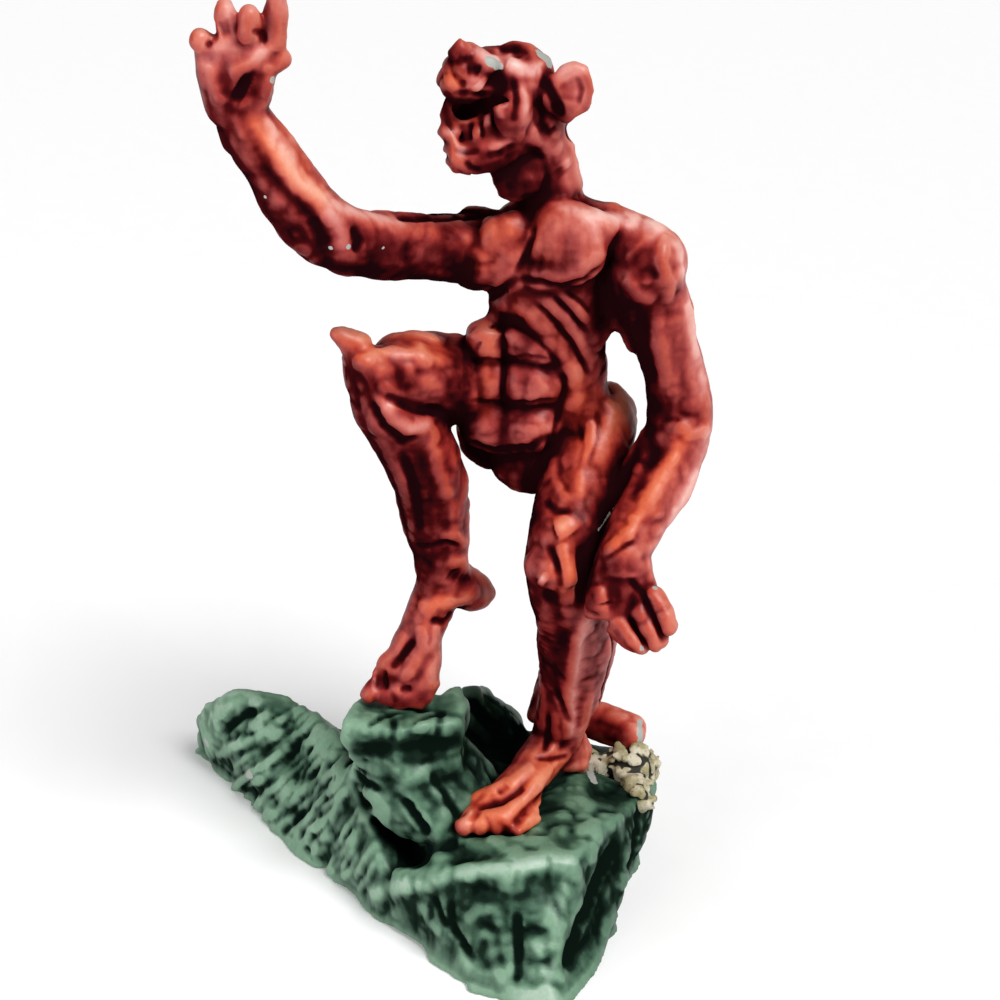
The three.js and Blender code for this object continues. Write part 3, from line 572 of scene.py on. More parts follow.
RIGHT_LEG_STROKES = [
    (ROUND, 0.5, 0.35, [(352, 366), (372, 358), (392, 352), (420, 356), (434, 362)]),
    (ROUND, 0.9, -0.25, [(366, 378), (388, 376), (404, 380)]),
    (ROUND, 0.4, 0.25, [(408, 362), (410, 380), (412, 396)]),
    (CREASE, 0.5, -0.7, [(384, 396), (404, 404), (424, 410), (440, 410)]),
    (ROUND, 0.55, 0.5, [(386, 404), (396, 420), (410, 428), (424, 424), (432, 418)]),
    (CREASE, 0.5, -0.4, [(370, 400), (384, 424), (402, 440), (418, 436)]),
    (ROUND, 0.5, 0.3, [(434, 424), (432, 444), (438, 474), (450, 500)]),
    (ROUND, 0.5, 0.25, [(362, 404), (384, 442), (404, 490), (414, 540)]),
    (CREASE, 0.5, -0.3, [(402, 450), (414, 490), (420, 530)]),
    (CREASE, 0.3, -0.18, [(416, 545), (432, 545), (446, 540), (462, 545)]),
    (ROUND, 0.35, 0.25, [(440, 534), (456, 536), (466, 546)]),
    (ROUND, 0.5, -0.2, [(448, 573), (458, 577)]),
    (ROUND, 0.45, 0.3, [(444, 562), (462, 562), (470, 574)]),
    (ROUND, 0.55, 0.35, [(420, 612), (436, 604), (462, 600), (480, 588)]),
    (CREASE, 0.4, -0.35, [(430, 620), (444, 622), (452, 612)]),
    (ROUND, 0.4, 0.4, [(420, 624), (424, 648), (412, 668), (402, 682)]),
    (ROUND, 0.4, 0.35, [(406, 632), (396, 650), (376, 664)]),
    (CREASE, 0.4, -0.45, [(414, 640), (402, 656), (392, 668)]),
    (ROUND, 0.35, 0.3, [(436, 624), (434, 656), (430, 684)]),
    (ROUND, 0.5, -0.7, [(374, 680), (388, 680)]),
    (CREASE, 0.35, -0.4, [(400, 690), (412, 688)]),
]

LEFT_LEG_STROKES = [
    (ROUND, 0.5, 0.12, [(604, 392), (612, 414), (604, 440), (594, 468)]),
    (ROUND, 0.5, 0.12, [(590, 416), (590, 440), (580, 466)]),
    (CREASE, 0.3, -0.15, [(597, 410), (598, 438), (588, 466)]),
    (CREASE, 0.3, -0.12, [(578, 420), (584, 446), (576, 476)]),
    (ROUND, 0.4, 0.15, [(554, 452), (552, 474), (562, 492), (574, 502)]),
    (CREASE, 0.35, -0.12, [(560, 458), (560, 478), (570, 494)]),
    (ROUND, 0.35, 0.15, [(577, 462), (580, 482), (582, 500)]),
    (CREASE, 0.4, -0.22, [(545, 500), (556, 512), (572, 512)]),
    (ROUND, 0.6, 0.5, [(556, 530), (566, 526), (572, 534)]),
    (ROUND, 0.4, 0.5, [(560, 544), (566, 560), (570, 586)]),
    (CREASE, 0.4, -0.3, [(548, 545), (556, 560), (562, 588)]),
    (ROUND, 0.45, 0.5, [(540, 578), (546, 582)]),
    (ROUND, 0.38, -0.6, [(549, 596)]),
    (CREASE, 0.55, -0.7, [(581, 545), (582, 580), (580, 606)]),
    (ROUND, 0.45, 0.35, [(583, 618), (575, 650), (568, 700), (567, 740)]),
    (ROUND, 0.6, -0.15, [(562, 625), (556, 660), (553, 690)]),
    (CREASE, 0.4, -0.6, [(557, 690), (563, 708), (570, 724)]),
    (ROUND, 0.4, 0.3, [(541, 612), (540, 660), (545, 705), (541, 745)]),
    (ROUND, 0.32, 0.35, [(556, 712), (557, 735), (552, 752)]),
    (CREASE, 0.3, -0.35, [(549, 715), (548, 735), (544, 752)]),
    (ROUND, 0.35, 0.3, [(590, 690), (584, 722), (576, 750)]),
    (CREASE, 0.3, -0.35, [(537, 759), (552, 759), (568, 756)]),
    (ROUND, 0.45, 0.5, [(534, 766), (512, 782), (488, 792), (458, 800)]),
    (ROUND, 0.5, 0.55, [(552, 766), (530, 792), (506, 812), (482, 822)]),
    (ROUND, 0.5, 0.5, [(574, 776), (554, 804), (532, 834)]),
    (ROUND, 0.4, -0.35, [(508, 783), (496, 792)]),
    (CREASE, 0.5, -0.55, [(526, 788), (502, 802), (476, 808)]),
    (CREASE, 0.5, -0.55, [(548, 788), (530, 808), (510, 830)]),
    (ROUND, 0.4, -0.6, [(500, 838), (516, 840)]),
    (ROUND, 0.35, -0.5, [(454, 811), (463, 815)]),
]

# The back and the far sides, in straight views: places are millimetres across the view
BACK_STROKES = [
    (CREASE, 0.6, -0.5, [(10.6, 48), (10.2, 44), (9.9, 40), (9.8, 36), (10.2, 33)]),
    (ROUND, 0.8, 0.35, [(8.6, 46.5), (8.7, 42), (8.8, 38)]),
    (ROUND, 0.8, 0.35, [(11.8, 46.5), (11.2, 42), (10.9, 38)]),
    (CREASE, 0.5, -0.4, [(7.6, 47.4), (7.2, 45), (7.9, 43)]),
    (CREASE, 0.5, -0.4, [(13.2, 47.6), (13.6, 45), (12.8, 43)]),
    (ROUND, 0.45, 0.3, [(7, 42.6), (8.2, 41.9)]),
    (ROUND, 0.45, 0.3, [(13.4, 42.6), (12.2, 41.9)]),
    (CREASE, 0.6, -0.5, [(9.7, 33.6), (9.6, 31.8), (9.9, 30)]),
    (CREASE, 0.45, -0.35, [(6.6, 36.6), (8.4, 37.1), (10, 36.4)]),
    (CREASE, 0.45, -0.35, [(13.4, 36.6), (11.8, 37.1), (10.4, 36.4)]),
    (CREASE, 0.45, -0.3, [(17.4, 46), (17.8, 42), (18.4, 38)]),
    (ROUND, 0.6, 0.3, [(18.8, 44), (19.2, 40)]),
    (ROUND, 0.5, 0.3, [(19.3, 36.2), (19.2, 34.2)]),
    (ROUND, 0.6, 0.35, [(12.4, 23.6), (12.5, 19)]),
    (ROUND, 0.6, 0.35, [(11, 23.6), (11.2, 19)]),
    (CREASE, 0.4, -0.2, [(11.8, 24.6), (11.8, 20), (11.6, 15)]),
    (ROUND, 0.6, 0.35, [(0.4, 34.5), (2, 29)]),
    (ROUND, 0.6, 0.35, [(1.9, 35.5), (3.2, 30)]),
    (CREASE, 0.4, -0.35, [(1.2, 35.5), (2.6, 29.5), (3.4, 25)]),
    (CREASE, 0.4, -0.3, [(2, 48.4), (-2, 49.6), (-5.4, 52.4)]),
    (ROUND, 0.5, 0.3, [(3, 47), (-1.5, 48), (-5.2, 51.2)]),
    (ROUND, 0.4, 0.25, [(-8, 58), (-7.6, 61)]),
    (ROUND, 0.35, 0.25, [(-6.8, 58.4), (-6.6, 61)]),
    (ROUND, 0.35, 0.25, [(-9, 58.4), (-8.8, 61)]),
]
RIGHT_STROKES = [
    (ROUND, 0.6, 0.3, [(1.5, 38.6), (-1, 39.4)]),
    (CREASE, 0.5, -0.35, [(2.6, 36.6), (0, 37.4), (-2.4, 37.8)]),
    (ROUND, 0.5, 0.3, [(-1.2, 36), (0, 31), (0.4, 26)]),
    (CREASE, 0.4, -0.3, [(0.6, 35), (1.2, 30), (1.2, 25.6)]),
    (CREASE, 0.5, -0.35, [(1.2, 43.2), (2.4, 41.2), (3, 39)]),
    (ROUND, 0.4, 0.3, [(-0.6, 42.6), (0.8, 41), (2, 39.6)]),
    (ROUND, 0.4, 0.3, [(-1, 41.4), (0.4, 40)]),
]
LEFT_STROKES = [
    (CREASE, 0.45, -0.3, [(-1.6, 46), (-0.8, 41), (-0.6, 37)]),
    (ROUND, 0.5, 0.3, [(-2.4, 44), (-2, 40)]),
    (ROUND, 0.5, 0.3, [(-3, 33), (-5, 29.6)]),
    (CREASE, 0.4, -0.3, [(-1.6, 32.6), (-3.8, 29.2)]),
    (ROUND, 0.6, 0.35, [(1.6, 32), (-1.8, 28)]),
    (CREASE, 0.5, -0.35, [(2.8, 31), (-0.4, 27.4)]),
    (ROUND, 0.6, 0.35, [(-1.6, 22), (-0.2, 17)]),
    (CREASE, 0.4, -0.3, [(-3, 22.4), (-1.4, 16), (0.2, 12)]),
]


def beyond_face(path):
    """A path's mirror image on the far side of the head."""
    left = np.array([math.cos(FACE_TURN), math.sin(FACE_TURN), 0])
    return path - 2 * ((path - HEAD_MIDDLE) @ left)[:, None] * left


def sculpt_rows(clay, rows, ray=PHOTO, mirror=None):
    """Lays strokes along places of a view, and along their mirror images where a mirror is given."""
    for kind, width, height, places in rows:
        path = clay.path(places, ray)
        clay.stroke(kind, width, height, path)
        if mirror:
            clay.stroke(kind, width, height, mirror(path))


def sculpt_head(clay):
    """Mouth, teeth and ears, then the lines of the face, on both sides where they show."""
    clay.hollow(clay.path(MOUTH, sink=MOUTH_SINK), MOUTH_RADII, MOUTH_BLEND)
    paths = [clay.path(places, sink=sink) for _, _, _, sink, places in FACE_STROKES]
    clay.stroke(*FAR_MOUTH, beyond_face(clay.path(MOUTH)))
    for side in [np.array, beyond_face]:
        for (kind, width, height, _, _), path in zip(FACE_STROKES, paths):
            clay.stroke(kind, width, height, side(path))
    sculpt_rows(clay, HEAD_STROKES, mirror=beyond_face)


def roughen_rows(clay, rows):
    """Lays unevenness of several sizes on a body."""
    for size, height, seed in rows:
        clay.roughen(size, height, seed)


def sculpt_figure():
    """The gargoyle's seven castings as one body: added and cut forms first, then strokes."""
    clay = Clay(FIGURE_NODES, FIGURE_VOXEL)
    clay.soften_by_zone(BODY_SOFT, FINE_SOFT, FINE_ZONES)
    for start, end, sink, blend, places in FIGURE_FORMS:
        clay.form(clay.path(places, sink=sink), (start, end), blend)
    for start, end, blend, points in FIGURE_FILLS:
        clay.form(np.array(points), (start, end), blend)
    for start, end, blend, points in FIGURE_CUTS:
        clay.hollow(np.array(points), (start, end), blend)
    for start, end, sink, blend, places in FIGURE_HOLLOWS:
        clay.hollow(clay.path(places, sink=sink), (start, end), blend)
    roughen_rows(clay, FIGURE_LUMPS)
    sculpt_head(clay)
    for rows in [TORSO_STROKES, RIGHT_ARM_STROKES, LEFT_ARM_STROKES, RIGHT_LEG_STROKES, LEFT_LEG_STROKES]:
        sculpt_rows(clay, rows)
    for rows in [BELLY_GROOVES, FINGER_GAPS]:
        sculpt_rows(clay, rows)
    for rows, ray in [(BACK_STROKES, BACK), (RIGHT_STROKES, RIGHT), (LEFT_STROKES, LEFT)]:
        sculpt_rows(clay, rows, ray)
    roughen_rows(clay, FIGURE_GRAIN)
    return clay


# The rock's strokes, in the same form
ROCK_STROKES = [
    (ROUND, 0.6, 0.6, [(371, 893), (410, 886), (456, 875), (503, 868)]),
    (ROUND, 1.0, -0.8, [(398, 848), (412, 856), (428, 862)]),
    (CREASE, 0.6, -1.0, [(405, 795), (417, 815), (431, 834)]),
    (ROUND, 0.55, 0.6, [(410, 828), (428, 848), (447, 866)]),
    (ROUND, 0.6, 0.6, [(419, 766), (436, 792), (453, 824)]),
    (ROUND, 0.5, 0.45, [(398, 776), (408, 792), (412, 815)]),
    (CREASE, 0.5, -0.5, [(430, 772), (446, 798), (460, 820)]),
    (ROUND, 0.45, 0.45, [(362, 790), (374, 798), (388, 812)]),
    (ROUND, 0.45, 0.45, [(366, 806), (378, 814), (390, 828)]),
    (CREASE, 0.5, -0.6, [(352, 770), (366, 782), (380, 790)]),
    (CREASE, 0.35, -0.3, [(366, 728), (384, 716), (404, 712)]),
    (CREASE, 0.35, -0.3, [(410, 728), (424, 718), (446, 712)]),
    (ROUND, 1.1, 0.5, [(405, 770), (424, 810), (448, 850)]),
    (ROUND, 0.7, -0.4, [(372, 750), (410, 746), (455, 744)]),
    (CREASE, 0.4, -0.35, [(395, 720), (392, 742)]),
    (CREASE, 0.4, -0.35, [(441, 714), (437, 738)]),
    (ROUND, 0.5, 0.25, [(416, 722), (428, 730)]),
    (ROUND, 0.7, 0.6, [(517, 870), (546, 858), (570, 866), (576, 884), (562, 894)]),
    (ROUND, 0.45, 0.5, [(466, 922), (478, 910), (494, 910), (503, 926), (508, 950), (514, 978)]),
    (CREASE, 0.45, -0.6, [(517, 912), (519, 945), (517, 984)]),
    (ROUND, 0.4, 0.4, [(480, 930), (492, 938), (496, 958), (506, 984)]),
    (CREASE, 0.4, -0.5, [(452, 902), (450, 922), (462, 940), (474, 962)]),
    (ROUND, 0.4, 0.4, [(424, 902), (430, 920), (442, 934)]),
    (CREASE, 0.4, -0.4, [(436, 898), (440, 914), (450, 928)]),
    (ROUND, 0.5, 0.35, [(549, 904), (553, 940), (554, 984)]),
    (CREASE, 0.8, -0.9, [(612, 846), (600, 872), (586, 910), (566, 955)]),
    (ROUND, 0.7, 0.5, [(626, 838), (622, 880), (604, 930), (586, 975)]),
    (CREASE, 0.6, -0.6, [(640, 800), (636, 836), (628, 872)]),
    (ROUND, 0.5, 0.4, [(590, 816), (596, 840), (588, 866)]),
    (CREASE, 0.5, -0.5, [(222, 733), (244, 716), (268, 705)]),
    (ROUND, 0.5, 0.4, [(212, 722), (232, 706), (262, 696)]),
    (CREASE, 0.6, -0.6, [(236, 796), (246, 786), (258, 776)]),
    (CREASE, 0.6, -0.6, [(280, 834), (290, 824), (300, 818)]),
    (ROUND, 0.5, 0.5, [(440, 690), (452, 686), (470, 690), (486, 690)]),
    (CREASE, 0.6, -0.6, [(470, 700), (482, 716), (500, 732)]),
]
# Stone between the rock and the slab, over the pin, in the form of FIGURE_FILLS
ROCK_FILLS = [(0.85, 0.85, 0.4, [(0.05, -1.1, 10.9), (0.05, -1.1, 11.9)])]
# Unevenness of the rock before and after its strokes, in the form of FIGURE_LUMPS
ROCK_LUMPS = [(4.0, 0.35, 4), (1.6, 0.15, 5)]
ROCK_GRAIN = [(0.7, 0.05, 6)]
# The wrinkled wall below the ridge: corners of the patch that short slanting folds fill, and the folds'
# length and bow, in pixels, with their slopes in degrees and their widths and heights in millimetres
WALL_PATCH = [(215, 735), (285, 705), (338, 745), (352, 800), (370, 880), (330, 865), (240, 785)]
WALL_FOLDS = 110
FOLD_SEED = 11
FOLD_LENGTH = 34
FOLD_STRETCH = (0.6, 1.3)
FOLD_BOW = 4
FOLD_SLOPES = (25, 60)
FOLD_WIDTHS = (0.2, 0.34)
FOLD_HEIGHTS = (0.2, 0.45)


def wall_folds():
    """Short slanting folds, spread at random over the rock's wall and steeper towards the front."""
    draw = np.random.default_rng(FOLD_SEED)
    corners = np.array(WALL_PATCH, float)
    low, high = corners.min(0), corners.max(0)
    edges = np.roll(corners, -1, axis=0) - corners
    rows = []
    while len(rows) < WALL_FOLDS:
        spot = draw.uniform(low, high)
        sides = edges[:, 0] * (spot - corners)[:, 1] - edges[:, 1] * (spot - corners)[:, 0]
        if np.all(sides > 0):
            slope = math.radians(np.interp(spot[0], (low[0], high[0]), FOLD_SLOPES))
            half = FOLD_LENGTH * draw.uniform(*FOLD_STRETCH) / 2
            run = half * np.array([math.cos(slope), -math.sin(slope)])
            bow = draw.uniform(-FOLD_BOW, FOLD_BOW, 2)
            places = [spot - run, spot + bow, spot + run]
            rows.append((ROUND, draw.uniform(*FOLD_WIDTHS), draw.uniform(*FOLD_HEIGHTS), places))
    return rows


def sculpt_rock():
    """The rock and its slab as one body, cut off flat at the underside."""
    clay = Clay(ROCK_NODES, ROCK_VOXEL)
    clay.soften(ROCK_SOFT)
    for start, end, blend, points in ROCK_FILLS:
        clay.form(np.array(points), (start, end), blend)
    roughen_rows(clay, ROCK_LUMPS)
    sculpt_rows(clay, ROCK_STROKES)
    sculpt_rows(clay, wall_folds())
    roughen_rows(clay, ROCK_GRAIN)
    height = (np.arange(clay.shape[2]) + clay.low[2]) * clay.voxel
    np.maximum(clay.field, -height.astype(np.float32), out=clay.field)
    return clay


# Crumbs of filler spread on the rock: (start radius, end radius, places)
FILLER_FORMS = [
    (0.6, 0.9, [(588, 760), (602, 770)]),
    (0.9, 0.6, [(636, 782), (644, 800)]),
    (0.6, 0.5, [(646, 766), (652, 776)]),
]
FILLER_BLEND = 0.3
FILLER_LUMPS = [(1.2, 0.5, 7), (0.5, 0.25, 8)]


def sculpt_filler(rock):
    """The crumbly filler beside the tail, with crumbs on the rock."""
    clay = Clay(FILLER_NODES, FILLER_VOXEL, FILLER_ROOM)
    clay.soften(FILLER_SOFT)
    for start, end, places in FILLER_FORMS:
        clay.form(rock.path(places), (start, end), FILLER_BLEND)
    roughen_rows(clay, FILLER_LUMPS)
    return clay


# Rounds of votes that straighten the lines between castings, and that clear islands and pinched corners
LINE_ROUNDS = 6
ISLAND_ROUNDS = 20


def joined_groups(count, links):
    """A group number for each of count things, from pairs of things that belong together."""
    group = np.arange(count)
    first, second = links
    while not np.array_equal(group[first], group[second]):
        low = np.minimum(group[first], group[second])
        np.minimum.at(group, group[first], low)
        np.minimum.at(group, group[second], low)
        while not np.array_equal(group, group[group]):
            group = group[group]
    return group


def outer_shell(points, quads):
    """Only the largest closed shell of a surface, without the hollows inside it."""
    sides = np.concatenate([quads, np.roll(quads, -1, axis=1)], axis=0).reshape(2, -1)
    group = joined_groups(len(points), sides)[quads[:, 0]]
    quads = quads[group == np.bincount(group).argmax()]
    used, quads = np.unique(quads, return_inverse=True)
    return points[used], quads.reshape(-1, 4)


def casting_distances(clay, points):
    """Distance of points from each packed casting of a clay body, one row a casting."""
    low = np.floor((clay.box[0] - ROOM) / LABEL_VOXEL).astype(int)
    shape = tuple(np.ceil((clay.box[1] + ROOM) / LABEL_VOXEL).astype(int) - low)
    rows = []
    for name in clay.names:
        field = solid_distances(name, LABEL_VOXEL, low, shape, LABEL_BAND)
        rows.append(sampled(field, low, LABEL_VOXEL, points))
    return np.stack(rows)


def quad_neighbours(quads):
    """Pairs of quads that share a side."""
    starts = quads.ravel()
    ends = np.roll(quads, -1, axis=1).ravel()
    key = np.minimum(starts, ends) * (quads.max() + 1) + np.maximum(starts, ends)
    order = np.argsort(key, kind="stable")
    same = np.nonzero(key[order][1:] == key[order][:-1])[0]
    return order[same] // 4, order[same + 1] // 4


def own_castings(clay, points, quads):
    """Which casting each quad belongs to: the nearest, with clean lines between castings and no islands."""
    count = len(clay.names)
    labels = casting_distances(clay, points[quads].mean(1)).argmin(0)
    for _ in range(LINE_ROUNDS):
        votes = np.zeros((len(points), count), np.int32)
        np.add.at(votes, (quads.ravel(), np.repeat(labels, 4)), 1)
        labels = votes[quads].sum(1).argmax(1)
    links = quad_neighbours(quads)
    for _ in range(ISLAND_ROUNDS):
        alike = labels[links[0]] == labels[links[1]]
        group = joined_groups(len(quads), (links[0][alike], links[1][alike]))
        size = np.bincount(group, minlength=len(quads))
        largest = np.zeros(count, int)
        np.maximum.at(largest, labels, size[group])
        stray = size[group] < largest[labels]
        stray |= np.isin(quads, pinched_points(points, quads, labels)).any(1)
        if not stray.any():
            break
        votes = np.zeros((len(points), count), np.int32)
        firm = ~stray
        np.add.at(votes, (quads[firm].ravel(), np.repeat(labels[firm], 4)), 1)
        chosen = votes[quads].sum(1)
        reached = stray & (chosen.sum(1) > 0)
        labels = np.where(reached, chosen.argmax(1), labels)
    return labels


def pinched_points(points, quads, labels):
    """Points where one casting's quads meet only corner to corner."""
    starts = quads.ravel()
    ends = np.roll(quads, -1, axis=1).ravel()
    owner = np.repeat(labels, 4)
    size = len(points)
    forward = (owner * size + starts) * size + ends
    backward = (owner * size + ends) * size + starts
    edge = ~np.isin(forward, backward)
    leaving = np.bincount(owner[edge] * size + starts[edge], minlength=size * (labels.max() + 1))
    return np.nonzero(leaving > 1)[0] % size


def edge_loops(quads):
    """The open edges of a patch of quads, as closed loops of points."""
    starts = quads.ravel()
    ends = np.roll(quads, -1, axis=1).ravel()
    size = quads.max() + 1
    edge = ~np.isin(starts * size + ends, ends * size + starts)
    following = dict(zip(starts[edge].tolist(), ends[edge].tolist()))
    loops = []
    while following:
        first, point = following.popitem()
        loop = [first]
        while point != first:
            loop.append(point)
            point = following.pop(point)
        loops.append(loop)
    return loops


def closed_piece(name, points, normals, channels, quads):
    """A closed mesh of one casting: its patch of the surface and a face across each joint."""
    used, quads = np.unique(quads, return_inverse=True)
    quads = quads.reshape(-1, 4)
    places = [points[used]]
    directions = [normals[used]]
    faces = quads.tolist()
    count = len(used)
    for loop in edge_loops(quads):
        rim = points[used[loop]]
        inner = rim - JOINT_INSET * normals[used[loop]]
        middle = inner.mean(0, keepdims=True)
        places += [inner, middle]
        directions += [normals[used[loop]], normals[used[loop]].mean(0, keepdims=True)]
        turns = list(zip(range(len(loop)), np.roll(range(len(loop)), -1).tolist()))
        faces += [[loop[b], loop[a], count + a, count + b] for a, b in turns]
        faces += [[count + b, count + a, count + len(loop)] for a, b in turns]
        count += len(loop) + 1
    mesh = bpy.data.meshes.new(name)
    mesh.from_pydata((np.vstack(places) * MM).tolist(), [], faces)
    mesh.validate()
    mesh.shade_smooth()
    mesh.normals_split_custom_set_from_vertices(np.vstack(directions).tolist())
    for channel, values in channels.items():
        attribute = mesh.attributes.new(channel, "FLOAT", "POINT")
        full = np.zeros(count, np.float32)
        full[: len(used)] = values[used]
        attribute.data.foreach_set("value", full)
    piece = bpy.data.objects.new(name, mesh)
    bpy.context.collection.objects.link(piece)
    return piece


def curvature(clay, points, radius):
    """How far the surface bulges, above zero, or hollows, below zero, at points on a radius's scale."""
    soft = blurred(clay.field, radius / clay.voxel)
    return sampled(soft, clay.low, clay.voxel, points) * 2 / radius


def surface_normals(clay, points):
    """Directions out of the surface at points."""
    soft = blurred(clay.field, NORMAL_BLUR)
    gradients = [np.gradient(soft, axis=axis) for axis in range(3)]
    slopes = np.stack([sampled(gradient, clay.low, clay.voxel, points) for gradient in gradients], 1)
    return slopes / np.maximum(np.linalg.norm(slopes, axis=1, keepdims=True), 1e-9)


def marked_strength(clay, points, rows):
    """Strength of painted marks at points, painted light and shade among them. Rows are (width, strength,
    places of the photograph).
    """
    total = np.zeros(len(points), np.float32)
    for width, strength, places in rows:
        path = clay.path(places)
        reach = MARK_REACH * width
        within = (points > path.min(0) - reach) & (points < path.max(0) + reach)
        near = np.nonzero(within.all(axis=1))[0]
        distance, _ = path_distance(points[near], path)
        total[near] = np.maximum(total[near], strength * np.exp(-(distance / width) ** 2))
    return total


def make_pieces(clay, paint_and_light_marks):
    """The finished pieces of a clay body by casting name, with their paint channels: hollows and ridges for
    painted shade and highlight, and the painted marks.
    """
    points, quads = outer_shell(*clay.surface())
    normals = surface_normals(clay, points)
    channels = {
        "fine": curvature(clay, points, FINE_RADIUS),
        "broad": curvature(clay, points, BROAD_RADIUS),
        "deep": curvature(clay, points, DEEP_RADIUS),
    }
    for channel, rows in paint_and_light_marks.items():
        channels[channel] = marked_strength(clay, points, rows)
    labels = own_castings(clay, points, quads)
    pieces = {}
    for i, name in enumerate(clay.names):
        pieces[name] = closed_piece("painted_" + name, points, normals, channels, quads[labels == i])
    return pieces


def colour(red, green, blue):
    """An opaque colour."""
    return (red, green, blue, 1.0)


# Paint: colours by tone, from the dark wash and painted shade of the deepest hollow to the dry-brushing and
# painted highlight of the palest edge
RED_STEPS = [
    (0.0, colour(0.012, 0.002, 0.003)),
    (1.0, colour(0.8, 0.42, 0.33)),
    (0.18, colour(0.045, 0.003, 0.004)),
    (0.36, colour(0.15, 0.008, 0.008)),
    (0.5, colour(0.29, 0.02, 0.015)),
    (0.64, colour(0.46, 0.06, 0.03)),
    (0.8, colour(0.62, 0.17, 0.115)),
]
ROSE_STEPS = [
    (0.0, colour(0.02, 0.002, 0.003)),
    (1.0, colour(0.82, 0.5, 0.45)),
    (0.3, colour(0.14, 0.012, 0.014)),
    (0.5, colour(0.34, 0.045, 0.045)),
    (0.7, colour(0.54, 0.15, 0.135)),
    (0.85, colour(0.7, 0.32, 0.29)),
]
ORANGE_STEPS = [
    (0.0, colour(0.02, 0.002, 0.002)),
    (1.0, colour(0.85, 0.45, 0.3)),
    (0.25, colour(0.14, 0.008, 0.005)),
    (0.45, colour(0.4, 0.035, 0.014)),
    (0.65, colour(0.62, 0.1, 0.035)),
    (0.82, colour(0.75, 0.22, 0.1)),
]
GREEN_STEPS = [
    (0.0, colour(0.003, 0.007, 0.005)),
    (1.0, colour(0.44, 0.56, 0.46)),
    (0.22, colour(0.011, 0.024, 0.016)),
    (0.42, colour(0.035, 0.085, 0.052)),
    (0.6, colour(0.082, 0.172, 0.106)),
    (0.8, colour(0.185, 0.325, 0.215)),
]

# What makes the tone lighter, as painted highlight, or darker, as painted shade: the hollows and ridges of
# each scale, with each channel's weight and the range in which it counts, the side facing the light, and the
# pale and dark marks
RED_CHANNELS = {"fine": (0.34, -1.0, 0.5), "broad": (0.3, -0.8, 0.65), "deep": (0.18, -0.3, 1.0)}
RED_BASE = 0.06
# Painted light: the red is lighter on the side facing up, right and to the front, and darker on the side
# away from it, by this weight and towards this direction
RED_PAINTED_LIGHT_WEIGHT = 0.26
RED_PAINTED_LIGHT_FROM = (0.6, -0.3, 0.74)
GREEN_CHANNELS = {"fine": (0.42, -1.0, 0.6), "broad": (0.34, -0.8, 0.65), "deep": (0.14, -0.3, 1.0)}
GREEN_BASE = 0.1
# Painted light: the green is lighter on the side facing up, left and to the front, and darker on the side
# away from it, by this weight and towards this direction
GREEN_PAINTED_LIGHT_WEIGHT = 0.14
GREEN_PAINTED_LIGHT_FROM = (-0.45, -0.4, 0.8)
# How much the pale marks lighten the tone: pale paint and painted highlight
PALE_AND_PAINTED_HIGHLIGHT_LIFT = 0.3
# How much the dark marks darken the tone: dark paint and painted shade
DARK_AND_PAINTED_SHADE_DROP = 0.42
# Mottling, grain and streaks of the tone: sizes in millimetres and weights
RED_MOTTLE = 2.2
GREEN_MOTTLE = 2.6
MOTTLE_TONE = 0.22
GRAIN_SIZE = 0.3
GRAIN_TONE = 0.1
STREAK_SIZE = 0.9
STREAK_STRETCH = (1, 1, 0.4)
STREAK_TONE = 0.16
# Rose patches in the red: size, range of the noise that shows them, and strength
ROSE_SIZE = 3.4
ROSE_RANGE = (0.46, 0.66)
ROSE_SHARE = 0.3
# Varnish: its gloss, the tones between which it sets in, the size of its dull patches and its roughness
GLOSS = 0.4
GLOSS_TONES = (0.2, 0.6)
DULL_SIZE = 0.8
RED_ROUGHNESS = (0.3, 0.52)
GREEN_ROUGHNESS = (0.32, 0.6)
# Chips down to the metal: how far the grain frays them, the range of their edge, their colour and shine
CHIP_FRAY = 0.35
CHIP_EDGE = (0.42, 0.5)
CHIP_COLOUR = colour(0.42, 0.43, 0.4)
CHIP_SHINE = 0.3
# Filler and brass
FILLER_OCHRE = colour(0.34, 0.3, 0.15)
FILLER_CREAM = colour(0.62, 0.57, 0.43)
FILLER_STAIN = colour(0.12, 0.1, 0.06)
FILLER_PIT = colour(0.02, 0.018, 0.012)
BRASS_BRIGHT = colour(0.78, 0.56, 0.24)
BRASS_DULL = colour(0.46, 0.3, 0.12)


